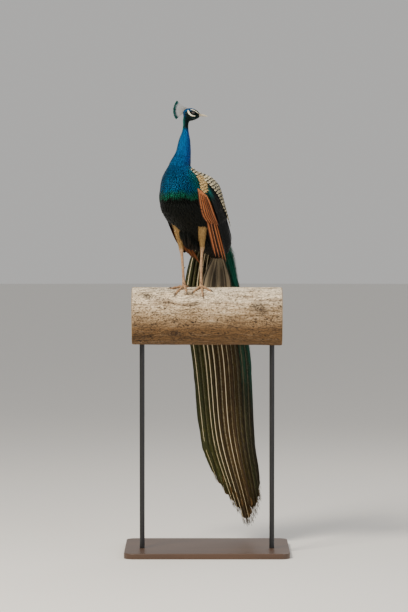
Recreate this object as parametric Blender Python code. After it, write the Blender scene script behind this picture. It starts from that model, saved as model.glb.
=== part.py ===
"""Indian peafowl cock, life size, standing on a cut length of tree trunk that a plain stand holds up.

Metres, +Z up. The origin is on the underside of the stand's base, below the middle of the trunk. X runs
along the trunk. The bird faces -Y turned towards -X, and its train hangs down behind the trunk, on the
+Y side.
"""

import math

import bmesh
import bpy
from mathutils import Matrix, Vector

GAP = 0.0003

# Stand and trunk
BASE_LENGTH = 0.66
BASE_WIDTH = 0.52
BASE_THICKNESS = 0.022
BASE_SHIFT = 0.07
BASE_CORNER = 0.04
BASE_BEVEL = 0.003
ROD_RADIUS = 0.010
ROD_SPACING = 0.52
ROD_SOCKET = 0.035
PERCH_LENGTH = 0.60
PERCH_RADIUS = 0.115
PERCH_TOP = 1.070

# Where the bird stands, and the way its body, head and feet point, in degrees from +X
BIRD_PLACE = Vector((-0.060, -0.020, PERCH_TOP))
BODY_HEADING = -125.0
HEAD_PLACE = Vector((-0.0615, -0.059, PERCH_TOP + 0.690))
HEAD_HEADING = -8.0
HEAD_NOD = 3.0

# Body: forward, up, half depth to the belly, half depth to the back, half width, from head to tail
SPINE = (
    (0.0370, 0.690, 0.0105, 0.0105, 0.0105),
    (0.0410, 0.666, 0.0138, 0.0138, 0.0133),
    (0.0435, 0.640, 0.0116, 0.0116, 0.0114),
    (0.0455, 0.615, 0.0152, 0.0152, 0.0148),
    (0.0495, 0.590, 0.0225, 0.0225, 0.0220),
    (0.0540, 0.564, 0.0275, 0.0275, 0.0265),
    (0.0590, 0.535, 0.0315, 0.0315, 0.0305),
    (0.0695, 0.508, 0.0380, 0.0380, 0.0370),
    (0.0820, 0.478, 0.0500, 0.0480, 0.0475),
    (0.0770, 0.432, 0.0960, 0.0800, 0.0760),
    (0.0450, 0.370, 0.1310, 0.1120, 0.0950),
    (0.0000, 0.305, 0.1080, 0.1180, 0.1000),
    (-0.0550, 0.250, 0.0920, 0.1120, 0.0920),
    (-0.1100, 0.205, 0.0780, 0.0860, 0.0720),
    (-0.1550, 0.165, 0.0500, 0.0560, 0.0520),
    (-0.1850, 0.130, 0.0300, 0.0320, 0.0340),
)
NECK_TOP = 0.5
NECK_ROOT = 8.3
RUMP_START = 12.7
RUMP_END = 15.0

# Head: forward, middle height, half height above and below it, half width
SKULL = (
    (-0.0335, 0.0020, 0.0030, 0.0030, 0.0030),
    (-0.0310, 0.0005, 0.0110, 0.0120, 0.0095),
    (-0.0245, -0.0005, 0.0180, 0.0200, 0.0145),
    (-0.0140, -0.0015, 0.0230, 0.0255, 0.0175),
    (-0.0030, -0.0020, 0.0245, 0.0275, 0.0182),
    (0.0080, -0.0025, 0.0235, 0.0235, 0.0170),
    (0.0180, -0.0030, 0.0190, 0.0180, 0.0140),
    (0.0265, -0.0035, 0.0130, 0.0130, 0.0104),
    (0.0325, -0.0040, 0.0080, 0.0085, 0.0068),
)
# Bill: forward, height of the mouth line, height above it, depth below it, half width
BILL = (
    (0.0220, -0.0042, 0.0072, 0.0046, 0.0066),
    (0.0330, -0.0042, 0.0068, 0.0042, 0.0060),
    (0.0430, -0.0046, 0.0058, 0.0034, 0.0049),
    (0.0520, -0.0054, 0.0046, 0.0024, 0.0036),
    (0.0590, -0.0066, 0.0033, 0.0011, 0.0023),
    (0.0635, -0.0080, 0.0021, 0.0, 0.0012),
    (0.0655, -0.0096, 0.0008, 0.0, 0.0005),
)
LOWER_BILL_ROWS = 5
NOSTRIL = Vector((0.0350, 0.0050, 0.0000))
EYE = Vector((0.0085, 0.0125, 0.0045))
EYE_RADIUS = 0.0062
LID_THICKNESS = 0.0011

CREST_COUNT = 13
CREST_LENGTH = 0.0605
CREST_SHORTER = 0.17
CREST_TIP = 0.015
CREST_TIP_WIDTH = 0.0021
CREST_SHAFT = 0.00045
CREST_FIRST = 150.0
CREST_LAST = 221.0

# Wing: a sheet beside the body, a along it from the wrist, b across it from the leading edge to the back
WRIST = Vector((0.102, 0.0, 0.400))
WING_AHEAD = {1: -0.006, -1: 0.014}
WING_PITCH = 60.0
WING_LENGTH = 0.36
WING_WIDTH = 0.155
WING_OUT = 0.110
WING_TIP_OUT = 0.092
WING_TILT = 10.0
WING_VANE_THICKNESS = 0.0011
# Shares of a feather's length at which its outline bends
LONG = (0.0, 0.15, 0.50, 0.80, 0.94, 1.0)
SHORT = (0.0, 0.22, 0.84, 0.95, 1.0)
# Tiers: count, a and b of the first and last roots, a and b of the first and last tips, heights over the
# sheet of the root, base and tip, half width, stations
WING_TIERS = {
    "primaries": (
        6, (0.36, 0.00), (0.40, 0.24), (0.76, 0.01), (0.99, 0.20), (-0.006, -0.002, -0.001), 0.0100, LONG
    ),
    "secondaries": (
        6, (0.38, 0.26), (0.44, 0.80), (0.93, 0.30), (0.85, 0.86), (-0.006, 0.003, 0.003), 0.0130, LONG
    ),
    "primary_coverts": (
        5, (0.05, 0.07), (0.06, 0.22), (0.46, 0.00), (0.54, 0.22), (-0.006, 0.003, 0.004), 0.0090, SHORT
    ),
    "greater_coverts": (
        4, (0.20, 0.30), (0.26, 0.70), (0.52, 0.34), (0.58, 0.72), (-0.006, 0.006, 0.007), 0.0135, SHORT
    ),
    "median_coverts": (
        4, (0.04, 0.26), (0.08, 0.60), (0.28, 0.31), (0.34, 0.64), (-0.006, 0.006, 0.010), 0.0150, SHORT
    ),
}
# The right wing's primaries cross under the tail, so their tips lie elsewhere
RIGHT_PRIMARY_TIPS = ((0.78, 0.10), (1.13, 0.60))
# The wing's top edge slopes down to the wrist: share of its width there, and how fast it widens
SHOULDER_SHARE = 0.62
SHOULDER_SLOPE = 1.3
SCAPULAR_ROWS = 4
SCAPULARS_IN_ROW = 3
SCAPULAR_LIFTS = (-0.006, 0.007, 0.010)
SCAPULAR_HALF = 0.0105

# Loose feathers that hang from the belly between the thighs: place along the body, degrees from its middle
# line, length
VENT_ROWS = (
    (11.50, (-12.0, 0.0, 12.0), 0.064),
    (12.00, (-12.0, 0.0, 12.0), 0.046),
    (12.40, (-7.0, 7.0), 0.034),
)
VENT_HALF = 0.0085

# Train: x and y from the bird's place, height over the trunk's top, half width, turn of its broad side
TRAIN = (
    (0.084, 0.1580, 0.165, 0.064, -33.0),
    (0.074, 0.2010, 0.060, 0.096, -26.0),
    (0.078, 0.226, -0.070, 0.113, -18.0),
    (0.112, 0.238, -0.240, 0.114, -14.0),
    (0.119, 0.246, -0.430, 0.115, -14.0),
    (0.144, 0.262, -0.630, 0.106, -14.0),
    (0.184, 0.284, -0.800, 0.090, -14.0),
    (0.220, 0.306, -0.940, 0.072, -14.0),
    (0.238, 0.318, -1.020, 0.060, -14.0),
)
# Rows of train feathers: count, place of the roots along the rump, height of the tips, way out from the belly
TRAIN_ROWS = (
    (11, 14.75, -1.000, 0.000),
    (10, 14.45, -0.910, 0.007),
    (9, 14.15, -0.780, 0.014),
    (8, 13.85, -0.630, 0.021),
    (7, 13.55, -0.460, 0.028),
    (5, 13.25, -0.270, 0.035),
    (4, 12.95, -0.070, 0.042),
)
# Heights at which every train feather bends, so that those of one layer stay beside those of the next
TRAIN_BENDS = (0.14, 0.05, -0.07, -0.30, -0.62)
TRAIN_EYE_LENGTH = 0.090
TRAIN_VANE = 0.0115
TRAIN_EYE = 0.0150
TRAIN_TILT = 12.0

TAIL_COUNT = 10
# Tail: as the train's rows
TAIL = (
    (0.108, 0.155, 0.122, 0.020, -33.0),
    (0.104, 0.168, 0.060, 0.046, -28.0),
    (0.100, 0.178, -0.020, 0.062, -20.0),
    (0.100, 0.182, -0.120, 0.072, -16.0),
    (0.102, 0.186, -0.225, 0.078, -14.0),
)
TAIL_VANE = 0.0150
TAIL_TILT = 10.0
TAIL_STUB_LENGTH = 0.030

# Legs: forward, left (for the left leg), up, half thickness, from inside the thigh to the ankle
LEGS = {
    "right": (
        (0.068, 0.022, 0.295, 0.0360),
        (0.057, 0.026, 0.255, 0.0260),
        (0.038, 0.036, 0.215, 0.0185),
        (0.020, 0.042, 0.178, 0.0125),
        (0.013, 0.043, 0.150, 0.0098),
        (0.014, 0.039, 0.128, 0.0066),
        (0.016, 0.033, 0.075, 0.0058),
        (0.018, 0.028, 0.028, 0.0064),
        (0.018, 0.026, 0.009, 0.0080),
    ),
    "left": (
        (0.030, 0.064, 0.290, 0.0340),
        (0.022, 0.062, 0.255, 0.0240),
        (0.006, 0.053, 0.215, 0.0160),
        (-0.012, 0.041, 0.182, 0.0120),
        (-0.024, 0.034, 0.158, 0.0098),
        (-0.023, 0.032, 0.135, 0.0066),
        (-0.020, 0.031, 0.080, 0.0058),
        (-0.018, 0.032, 0.028, 0.0064),
        (-0.018, 0.032, 0.009, 0.0080),
    ),
}
HOCK_ROW = 4.0
ANKLE_ROW = 7.5
SPUR_ROW = 6.0
SCUTES = 12
SHANK_SIDES = 8
SCUTE_RISE = 0.10
SPUR_LENGTH = 0.016
FOOT_HEADING = {"right": -120.0, "left": -84.0}
TOES = ((0.0, 0.072), (42.0, 0.056), (-42.0, 0.058), (180.0, 0.032))
TOE_RADIUS = 0.0055
CLAW_LENGTH = 0.011


def turned(degrees):
    return Vector((math.cos(math.radians(degrees)), math.sin(math.radians(degrees)), 0.0))


FORWARD = turned(BODY_HEADING)
LEFT = turned(BODY_HEADING + 90.0)
UP = Vector((0.0, 0.0, 1.0))
HEAD = (
    Matrix.Translation(HEAD_PLACE)
    @ Matrix.Rotation(math.radians(HEAD_HEADING), 4, "Z")
    @ Matrix.Rotation(math.radians(HEAD_NOD), 4, "Y")
)


def on_bird(forward, left, up):
    """A point given in the bird's own directions, from between its feet."""
    return BIRD_PLACE + FORWARD * forward + LEFT * left + UP * up


def between(rows, t):
    """The smooth curve through the rows, at t rows along."""
    i = max(0, min(int(t), len(rows) - 2))
    x = t - i
    before, start, end, after = (rows[max(0, min(k, len(rows) - 1))] for k in (i - 1, i, i + 1, i + 2))
    return [
        0.5 * (2 * q + (r - p) * x + (2 * p - 5 * q + 4 * r - s) * x**2 + (3 * q - p - 3 * r + s) * x**3)
        for p, q, r, s in zip(before, start, end, after)
    ]


def steps(first, last, count):
    return [first + (last - first) * k / (count - 1) for k in range(count)]


# Materials and objects


def material(name, colour, roughness=0.6, metallic=0.0):
    made = bpy.data.materials.new(name)
    made.use_nodes = True
    shader = made.node_tree.nodes["Principled BSDF"]
    shader.inputs["Base Color"].default_value = (*colour, 1.0)
    shader.inputs["Roughness"].default_value = roughness
    shader.inputs["Metallic"].default_value = metallic
    made.diffuse_color = (*colour, 1.0)
    return made


def new_object(name, bm, finish):
    """A named object of the bmesh's faces, all facing out and split into triangles, so that copies match."""
    bmesh.ops.recalc_face_normals(bm, faces=bm.faces)
    bmesh.ops.triangulate(bm, faces=bm.faces, quad_method="FIXED", ngon_method="EAR_CLIP")
    mesh = bpy.data.meshes.new(name)
    bm.to_mesh(mesh)
    bm.free()
    mesh.materials.append(finish)
    mesh.shade_smooth()
    mesh.set_sharp_from_angle(angle=math.radians(40))
    made = bpy.data.objects.new(name, mesh)
    bpy.context.scene.collection.objects.link(made)
    return made


def ring(centre, side, top, half_side, half_top, half_bottom, count):
    """Points of an oval round centre; top and bottom halves may differ."""
    points = []
    for k in range(count):
        angle = 2 * math.pi * k / count
        height = math.sin(angle)
        points.append(
            centre
            + side * (half_side * math.cos(angle))
            + top * (height * (half_top if height > 0 else half_bottom))
        )
    return points


def loft(rings, tip=None):
    """A closed bmesh skinned over the rings, ending in a point if tip is given."""
    bm = bmesh.new()
    loops = [[bm.verts.new(p) for p in points] for points in rings]
    for first, second in zip(loops, loops[1:]):
        for k in range(len(first)):
            following = (k + 1) % len(first)
            bm.faces.new((first[k], first[following], second[following], second[k]))
    bm.faces.new(reversed(loops[0]))
    if tip is None:
        bm.faces.new(loops[-1])
    else:
        point = bm.verts.new(tip)
        for k in range(len(loops[-1])):
            bm.faces.new((loops[-1][k], loops[-1][(k + 1) % len(loops[-1])], point))
    return bm


def ball(centre, radii, frame=None, segments=16, rings=10):
    """A closed bmesh ellipsoid."""
    bm = bmesh.new()
    bmesh.ops.create_uvsphere(bm, u_segments=segments, v_segments=rings, radius=1.0)
    place = (frame or Matrix.Identity(4)) @ Matrix.Translation(centre) @ Matrix.Diagonal((*radii, 1.0))
    bmesh.ops.transform(bm, matrix=place, verts=bm.verts)
    return bm


def combined(body, operation, others):
    """Joins the others to body, or cuts them from it, and removes them.

    The exact solver leaves open edges where many thin feathers cross, so the one for closed meshes is used.
    """
    group = bpy.data.collections.new("operands")
    bpy.context.scene.collection.children.link(group)
    for other in others:
        bpy.context.scene.collection.objects.unlink(other)
        group.objects.link(other)
    boolean = body.modifiers.new("combined", "BOOLEAN")
    boolean.operation = operation
    boolean.operand_type = "COLLECTION"
    boolean.collection = group
    boolean.solver = "MANIFOLD"
    bpy.context.view_layer.update()
    graph = bpy.context.evaluated_depsgraph_get()
    made = bpy.data.meshes.new_from_object(body.evaluated_get(graph))
    body.modifiers.clear()
    body.data = made
    for other in others:
        bpy.data.objects.remove(other)
    bpy.data.collections.remove(group)
    return body


def keep_largest(body):
    """Drops every closed surface of the body but the one that holds most."""
    bm = bmesh.new()
    bm.from_mesh(body.data)
    left = set(bm.faces)
    pieces = []
    while left:
        piece = []
        queue = [left.pop()]
        while queue:
            face = queue.pop()
            piece.append(face)
            for edge in face.edges:
                for other in edge.link_faces:
                    if other in left:
                        left.discard(other)
                        queue.append(other)
        pieces.append(piece)

    def volume(piece):
        total = 0.0
        for face in piece:
            corners = [loop.vert.co for loop in face.loops]
            for second, third in zip(corners[1:], corners[2:]):
                total += corners[0].dot(second.cross(third))
        return total

    pieces.sort(key=volume)
    loose = [face for piece in pieces[:-1] for face in piece]
    if loose:
        bmesh.ops.delete(bm, geom=loose, context="FACES")
        alone = [v for v in bm.verts if not v.link_faces]
        bmesh.ops.delete(bm, geom=alone, context="VERTS")
    # The cuts leave slivers on flat faces, which are merged again
    bmesh.ops.dissolve_limit(bm, angle_limit=math.radians(0.5), verts=bm.verts, edges=bm.edges)
    bmesh.ops.triangulate(bm, faces=bm.faces)
    bm.to_mesh(body.data)
    bm.free()
    return body


def grown(body, by=GAP):
    """A copy of the body with each point moved out along its normal."""
    bm = bmesh.new()
    bm.from_mesh(body.data)
    bm.normal_update()
    for v in bm.verts:
        v.co += v.normal * (by * v.calc_shell_factor())
    mesh = bpy.data.meshes.new("grown")
    bm.to_mesh(mesh)
    bm.free()
    made = bpy.data.objects.new("grown", mesh)
    bpy.context.scene.collection.objects.link(made)
    return made


def cut_by(body, *others):
    """Cuts grown copies of the others from the body, so that they touch face to face."""
    return combined(body, "DIFFERENCE", [grown(other) for other in others])


def vane(path, normals, half_widths, thickness, tilt=0.0):
    """A closed bmesh of one feather: a strip along the path with a ridge down its middle and a point."""
    last = len(path) - 1
    bm = bmesh.new()
    loops = []
    for k in range(last):
        along = (path[k + 1] - path[max(k - 1, 0)]).normalized()
        across = along.cross(normals[k]).normalized()
        out = across.cross(along)
        turn = Matrix.Rotation(math.radians(tilt), 3, along)
        across = turn @ across
        out = turn @ out
        half = half_widths[k]
        ridge = out * (thickness / 2)
        corners = (path[k] - across * half, path[k] + ridge, path[k] + across * half, path[k] - ridge)
        loops.append([bm.verts.new(p) for p in corners])
    # Both faces of a half are split alike, so that they can't cross where the strip twists
    for first, second in zip(loops, loops[1:]):
        for edge, ridge in ((0, 1), (0, 3), (2, 1), (2, 3)):
            bm.faces.new((first[edge], first[ridge], second[ridge]))
            bm.faces.new((first[edge], second[ridge], second[edge]))
    tip = bm.verts.new(path[last])
    for k in range(4):
        bm.faces.new((loops[-1][k], loops[-1][(k + 1) % 4], tip))
    bm.faces.new(loops[0])
    return bm


# Stand and trunk


def perch_radius(x, angle):
    """The trunk's radius: nearly round, with low swellings that run along it."""
    swell = 0.030 * math.sin(2 * angle + 0.6 + 1.5 * x) + 0.018 * math.sin(3 * angle + 7.0 * x)
    taper = 0.05 * x / PERCH_LENGTH
    return PERCH_RADIUS * (1.0 + swell * math.sin(angle / 2) ** 2 + taper * math.sin(angle / 2) ** 2)


def on_perch(x, y, lift=0.0):
    """The point of the trunk's upper surface at x and y, raised square to it."""
    axis = Vector((x, 0.0, PERCH_TOP - PERCH_RADIUS))
    angle = math.asin(max(-1.0, min(1.0, y / PERCH_RADIUS)))
    out = Vector((0.0, math.sin(angle), math.cos(angle)))
    return axis + out * (perch_radius(x, angle) + lift)


def build_perch(bark, rods):
    sides = 28
    ends = [(-0.5, 0.965), (-0.492, 0.99), (-0.30, 1.0), (0.0, 1.0)]
    ends += [(-share, scale) for share, scale in reversed(ends[:-1])]
    rings = []
    for share, scale in ends:
        x = share * PERCH_LENGTH
        centre = Vector((x, 0.0, PERCH_TOP - PERCH_RADIUS))
        points = []
        for k in range(sides):
            angle = 2 * math.pi * k / sides
            out = Vector((0.0, math.sin(angle), math.cos(angle)))
            points.append(centre + out * (perch_radius(x, angle) * scale))
        rings.append(points)
    perch = new_object("perch", loft(rings), bark)
    return cut_by(perch, *rods)


def build_stand(steel, wood):
    bm = bmesh.new()
    corners = []
    for cx, cy, start in ((1, 1, 0), (-1, 1, 90), (-1, -1, 180), (1, -1, 270)):
        x = cx * (BASE_LENGTH / 2 - BASE_CORNER)
        y = BASE_SHIFT + cy * (BASE_WIDTH / 2 - BASE_CORNER)
        centre = Vector((x, y, 0))
        corners += [centre + turned(start + 15 * k) * BASE_CORNER for k in range(7)]
    outline = bm.faces.new([bm.verts.new(p) for p in corners])
    lifted = bmesh.ops.extrude_face_region(bm, geom=[outline])["geom"]
    top = [g for g in lifted if isinstance(g, bmesh.types.BMVert)]
    bmesh.ops.translate(bm, verts=top, vec=(0, 0, BASE_THICKNESS))
    rim = [e for e in bm.edges if all(v.co.z > BASE_THICKNESS / 2 for v in e.verts)]
    bmesh.ops.bevel(bm, geom=rim, offset=BASE_BEVEL, segments=2, profile=0.5, affect="EDGES", material=-1)
    base = new_object("stand_base", bm, wood)
    rods = []
    for name, side in (("stand_rod_right", -1), ("stand_rod_left", 1)):
        x = side * ROD_SPACING / 2
        low = BASE_THICKNESS + GAP
        high = PERCH_TOP - 2 * PERCH_RADIUS + ROD_SOCKET
        rings = [
            ring(Vector((x, 0, z)), turned(0), turned(90), ROD_RADIUS, ROD_RADIUS, ROD_RADIUS, 16)
            for z in (low, high)
        ]
        rods.append(new_object(name, loft(rings), steel))
    return base, rods


# Body


def body_frame(t):
    """Centre, way along towards the tail, way to the belly and half sizes of the body at t rows."""
    forward, up, belly, back, side = between(SPINE, t)
    ahead = between(SPINE, max(t - 0.05, 0.0))
    behind = between(SPINE, min(t + 0.05, len(SPINE) - 1.0))
    along = (FORWARD * (behind[0] - ahead[0]) + UP * (behind[1] - ahead[1])).normalized()
    to_belly = along.cross(LEFT)
    return on_bird(forward, 0.0, up), along, to_belly, belly, back, side


def body_ring(t, count, slide=0.0, room=0.0):
    centre, along, to_belly, belly, back, side = body_frame(t)
    return ring(centre + along * slide, LEFT, to_belly, side + room, belly, back + room, count)


def body_length(first, last, stations, count, slide_first=0.0, slide_last=0.0, room=0.0):
    rings = [body_ring(t, count, 0.0, room) for t in steps(first, last, stations)]
    rings[0] = body_ring(first, count, slide_first, room)
    rings[-1] = body_ring(last, count, slide_last, room)
    return loft(rings)


def on_body(t, turn, depth=0.0):
    """A point under the body's surface, turn degrees from the middle of the back round to the left."""
    centre, along, to_belly, belly, back, side = body_frame(t)
    angle = math.radians(turn)
    deep = back if math.cos(angle) > 0 else belly
    out = (LEFT * (math.sin(angle) / side) - to_belly * (math.cos(angle) / deep)).normalized()
    point = centre + LEFT * (math.sin(angle) * side) - to_belly * (math.cos(angle) * deep)
    return point - out * depth


def vent_feather(t, turn, length):
    """One loose feather that hangs from the belly."""
    root = on_body(t, 180.0 + turn, 0.006)
    along = body_frame(t)[1]
    way = (along * 0.30 - UP * 0.70).normalized()
    path = [root + way * (length * share) for share in SHORT]
    halves = (0.6 * VENT_HALF, VENT_HALF, 0.7 * VENT_HALF, 0.4 * VENT_HALF, 0.0)
    return vane(path, [FORWARD] * len(path), halves, 0.0016)


def build_torso(finish):
    rings = body_length(NECK_ROOT, RUMP_START, 11, 24, GAP / 2, -GAP / 2)
    torso = new_object("torso", rings, finish)
    added = []
    for t, turns, length in VENT_ROWS:
        for turn in turns:
            added.append(new_object("feather", vent_feather(t, turn, length), finish))
    combined(torso, "UNION", added)
    return keep_largest(torso)


# Head


def in_head(forward, left, up):
    return HEAD @ Vector((forward, left, up))


def head_side():
    return HEAD.to_3x3() @ Vector((0, 1, 0))


def head_top():
    return HEAD.to_3x3() @ Vector((0, 0, 1))


def build_bill(horn):
    upper_rings = []
    lower_rings = []
    for forward, mouth, above, below, half in BILL:
        upper_rings.append(
            ring(in_head(forward, 0, mouth + GAP / 2), head_side(), head_top(), half, above, 0.0, 12)
        )
        lower_rings.append(
            ring(in_head(forward, 0, mouth - GAP / 2), head_side(), head_top(), half * 0.86, 0.0, below, 12)
        )
    upper = new_object("bill_upper", loft(upper_rings), horn)
    lower = new_object("bill_lower", loft(lower_rings[:LOWER_BILL_ROWS]), horn)
    nostrils = []
    for side in (-1, 1):
        centre = Vector((NOSTRIL.x, side * NOSTRIL.y, NOSTRIL.z))
        nostrils.append(new_object("nostril", ball(centre, (0.0026, 0.0010, 0.0009), HEAD, 8, 6), horn))
    return combined(upper, "DIFFERENCE", nostrils), lower


def build_eyes(black):
    eyes = []
    for name, side in (("eye_left", 1), ("eye_right", -1)):
        centre = Vector((EYE.x, side * EYE.y, EYE.z))
        bm = bmesh.new()
        bmesh.ops.create_icosphere(bm, subdivisions=2, radius=EYE_RADIUS)
        bmesh.ops.transform(bm, matrix=HEAD @ Matrix.Translation(centre), verts=bm.verts)
        eyes.append(new_object(name, bm, black))
    return eyes


def lid_ring(side):
    """The ring of the eyelids, standing just out of the cheek."""
    segments = 10
    sides = 5
    bm = bmesh.new()
    centre = Vector((EYE.x, side * (EYE.y + EYE_RADIUS * 0.62), EYE.z))
    loops = []
    for k in range(segments):
        angle = 2 * math.pi * k / segments
        out = Vector((math.cos(angle), 0, math.sin(angle) * 0.82))
        middle = centre + out * (EYE_RADIUS * 0.86)
        outward = Vector((0, side, 0))
        points = ring(middle, out.normalized(), outward, LID_THICKNESS, LID_THICKNESS, 0.0035, sides)
        loops.append([bm.verts.new(HEAD @ p) for p in points])
    for k in range(segments):
        first, second = loops[k], loops[(k + 1) % segments]
        for j in range(sides):
            bm.faces.new((first[j], first[(j + 1) % sides], second[(j + 1) % sides], second[j]))
    return bm


def crest_feather(share, skew):
    """One crest feather: a bare shaft with a small fan at its end."""
    turn = math.radians(CREST_FIRST + (CREST_LAST - CREST_FIRST) * share)
    root = Vector((-0.012 - 0.013 * share, skew, 0.0200 - 0.0110 * share))
    way = Vector((math.cos(turn), skew * 4.0, math.sin(turn)))
    bow = Vector((-math.sin(turn), 0, math.cos(turn)))
    length = CREST_LENGTH * (1.0 - CREST_SHORTER * share**2)
    tip = CREST_TIP / length
    stations = (0.0, 1 - tip, 1 - 0.55 * tip, 1 - 0.2 * tip, 1.0)
    halves = (1.4 * CREST_SHAFT, CREST_SHAFT, CREST_TIP_WIDTH, CREST_TIP_WIDTH, 0.0)
    path = []
    for along in stations:
        point = root + way * (length * along) + bow * (0.004 * math.sin(math.pi * along) * (1 - share))
        path.append(HEAD @ point)
    normals = [head_side()] * len(path)
    return vane(path, normals, halves, 0.0009)


def skull(room=0.0):
    """The closed bmesh of the skull, standing off it by room."""
    rings = []
    for t in steps(0, len(SKULL) - 1, 12):
        forward, middle, above, below, half = between(SKULL, t)
        centre = in_head(forward, 0, middle)
        rings.append(ring(centre, head_side(), head_top(), half + room, above + room, below + room, 16))
    return loft(rings)


def build_neck(finish):
    neck = new_object("neck", body_length(NECK_TOP, NECK_ROOT, 13, 16, slide_last=-GAP / 2), finish)
    combined(neck, "DIFFERENCE", [new_object("skull", skull(2 * GAP), finish)])
    return keep_largest(neck)


def build_head(plumage, bills, eyes):
    head = new_object("head", skull(), plumage)
    added = [new_object("lid", lid_ring(side), plumage) for side in (-1, 1)]
    for k in range(CREST_COUNT):
        skew = 0.0011 * ((k * 2) % 3 - 1)
        added.append(new_object("crest", crest_feather(k / (CREST_COUNT - 1), skew), plumage))
    combined(head, "UNION", added)
    cut_by(head, *bills, *eyes)
    return keep_largest(head)


# Wings


def wing_sheet(a, b):
    """A point of the wing's sheet in the bird's directions: a along the wing, b across it."""
    pitch = math.radians(WING_PITCH)
    along = Vector((-math.cos(pitch), 0, -math.sin(pitch)))
    across = Vector((-math.sin(pitch), 0, math.cos(pitch)))
    out = WING_OUT + (WING_TIP_OUT - WING_OUT) * max(0.0, a - 0.3) / 0.7
    out -= 0.046 * (max(0.0, b - 0.35) / 0.65) ** 2
    out -= 0.012 * (max(0.0, 0.25 - b) / 0.25) ** 2
    out -= 0.030 * (max(0.0, 0.25 - a) / 0.25) ** 2
    flat = WRIST + along * (a * WING_LENGTH) + across * (b * WING_WIDTH)
    return Vector((flat.x, out, flat.z))


def wing_point(a, b, lift, side):
    """The point over the sheet in the world, and the way out, for the wing on that side."""
    near = 0.02
    middle = wing_sheet(a, b)
    out = (wing_sheet(a, b + near) - wing_sheet(a, b - near)).cross(
        wing_sheet(a + near, b) - wing_sheet(a - near, b)
    )
    out.normalize()
    if out.y < 0:
        out.negate()
    point = middle + out * lift
    outward = FORWARD * out.x + LEFT * (side * out.y) + UP * out.z
    return on_bird(point.x + WING_AHEAD[side], side * point.y, point.z), outward


def wing_feather(side, root, tip, lifts, half, stations, tilt):
    """One feather over the sheet from root to tip, each (a, b); lifts are its heights there."""
    path = []
    normals = []
    halves = []
    for t in stations:
        a = root[0] + (tip[0] - root[0]) * t
        b = root[1] + (tip[1] - root[1]) * t
        lift = lifts[0] if t == 0 else lifts[1] + (lifts[2] - lifts[1]) * t
        point, out = wing_point(a, b, lift, side)
        path.append(point)
        normals.append(out)
        swell = min(1.0, 0.50 + 1.6 * t)
        close = 1.0 if t < 0.8 else math.sqrt(max(0.0, 1 - ((t - 0.8) / 0.2) ** 2))
        halves.append(half * swell * close)
    return vane(path, normals, halves, WING_VANE_THICKNESS, tilt * side)


def build_wing(name, side, plumage, torso, rump, envelope):
    rings = []
    for a in (-0.05, -0.02, 0.08, 0.34, 0.47, 0.52):
        roundness = math.sqrt(max(0.0, 1 - (abs(a - 0.235) / 0.30) ** 4))
        points = []
        for k in range(12):
            angle = 2 * math.pi * k / 12
            width = 0.47 * roundness * math.cos(angle)
            if width > 0:
                width *= min(1.0, SHOULDER_SHARE + SHOULDER_SLOPE * max(0.0, a))
            b = 0.5 + width
            point, out = wing_point(a, b, 0.034 * min(0.0, math.sin(angle)), side)
            points.append(point)
        rings.append(points)
    wing = new_object(name, loft(rings), plumage)
    added = []
    for tier, row in WING_TIERS.items():
        count, root_first, root_last, tip_first, tip_last, lifts, half, stations = row
        if tier == "primaries" and side < 0:
            tip_first, tip_last = RIGHT_PRIMARY_TIPS
        for k in range(count):
            share = k / (count - 1)
            root = [p + (q - p) * share for p, q in zip(root_first, root_last)]
            tip = [p + (q - p) * share for p, q in zip(tip_first, tip_last)]
            shape = wing_feather(side, root, tip, lifts, half, stations, -WING_TILT)
            added.append(new_object("feather", shape, plumage))
    for row in range(SCAPULAR_ROWS):
        for k in range(SCAPULARS_IN_ROW):
            b = 0.81 + 0.085 * k - 0.19 * max(0, 1 - row)
            root = (0.04 + 0.14 * row, b)
            tip = (root[0] + 0.23, b + 0.09 * max(0, 1 - row))
            shape = wing_feather(side, root, tip, SCAPULAR_LIFTS, SCAPULAR_HALF, SHORT, -WING_TILT)
            added.append(new_object("feather", shape, plumage))
    combined(wing, "UNION", added)
    cut_by(wing, torso, rump)
    combined(wing, "DIFFERENCE", envelope)
    return keep_largest(wing)


# Train and tail


def hanging_frame(rows, t):
    """Centre, broad way, way to the back and half width of a hanging fan at t rows."""
    x, y, up, half, turn = between(rows, t)
    ahead = between(rows, min(t + 0.05, len(rows) - 1.0))
    behind = between(rows, max(t - 0.05, 0.0))
    along = Vector((ahead[0] - behind[0], ahead[1] - behind[1], ahead[2] - behind[2])).normalized()
    broad = turned(turn)
    broad = (broad - along * broad.dot(along)).normalized()
    to_back = broad.cross(along)
    if to_back.y < 0:
        to_back.negate()
    return BIRD_PLACE + Vector((x, y, up)), broad, to_back, half


def row_at_height(rows, height):
    """How many rows along the fan's line that height lies."""
    low, high = 0.0, len(rows) - 1.0
    for _ in range(30):
        middle = (low + high) / 2
        if between(rows, middle)[2] > height:
            low = middle
        else:
            high = middle
    return low


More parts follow.
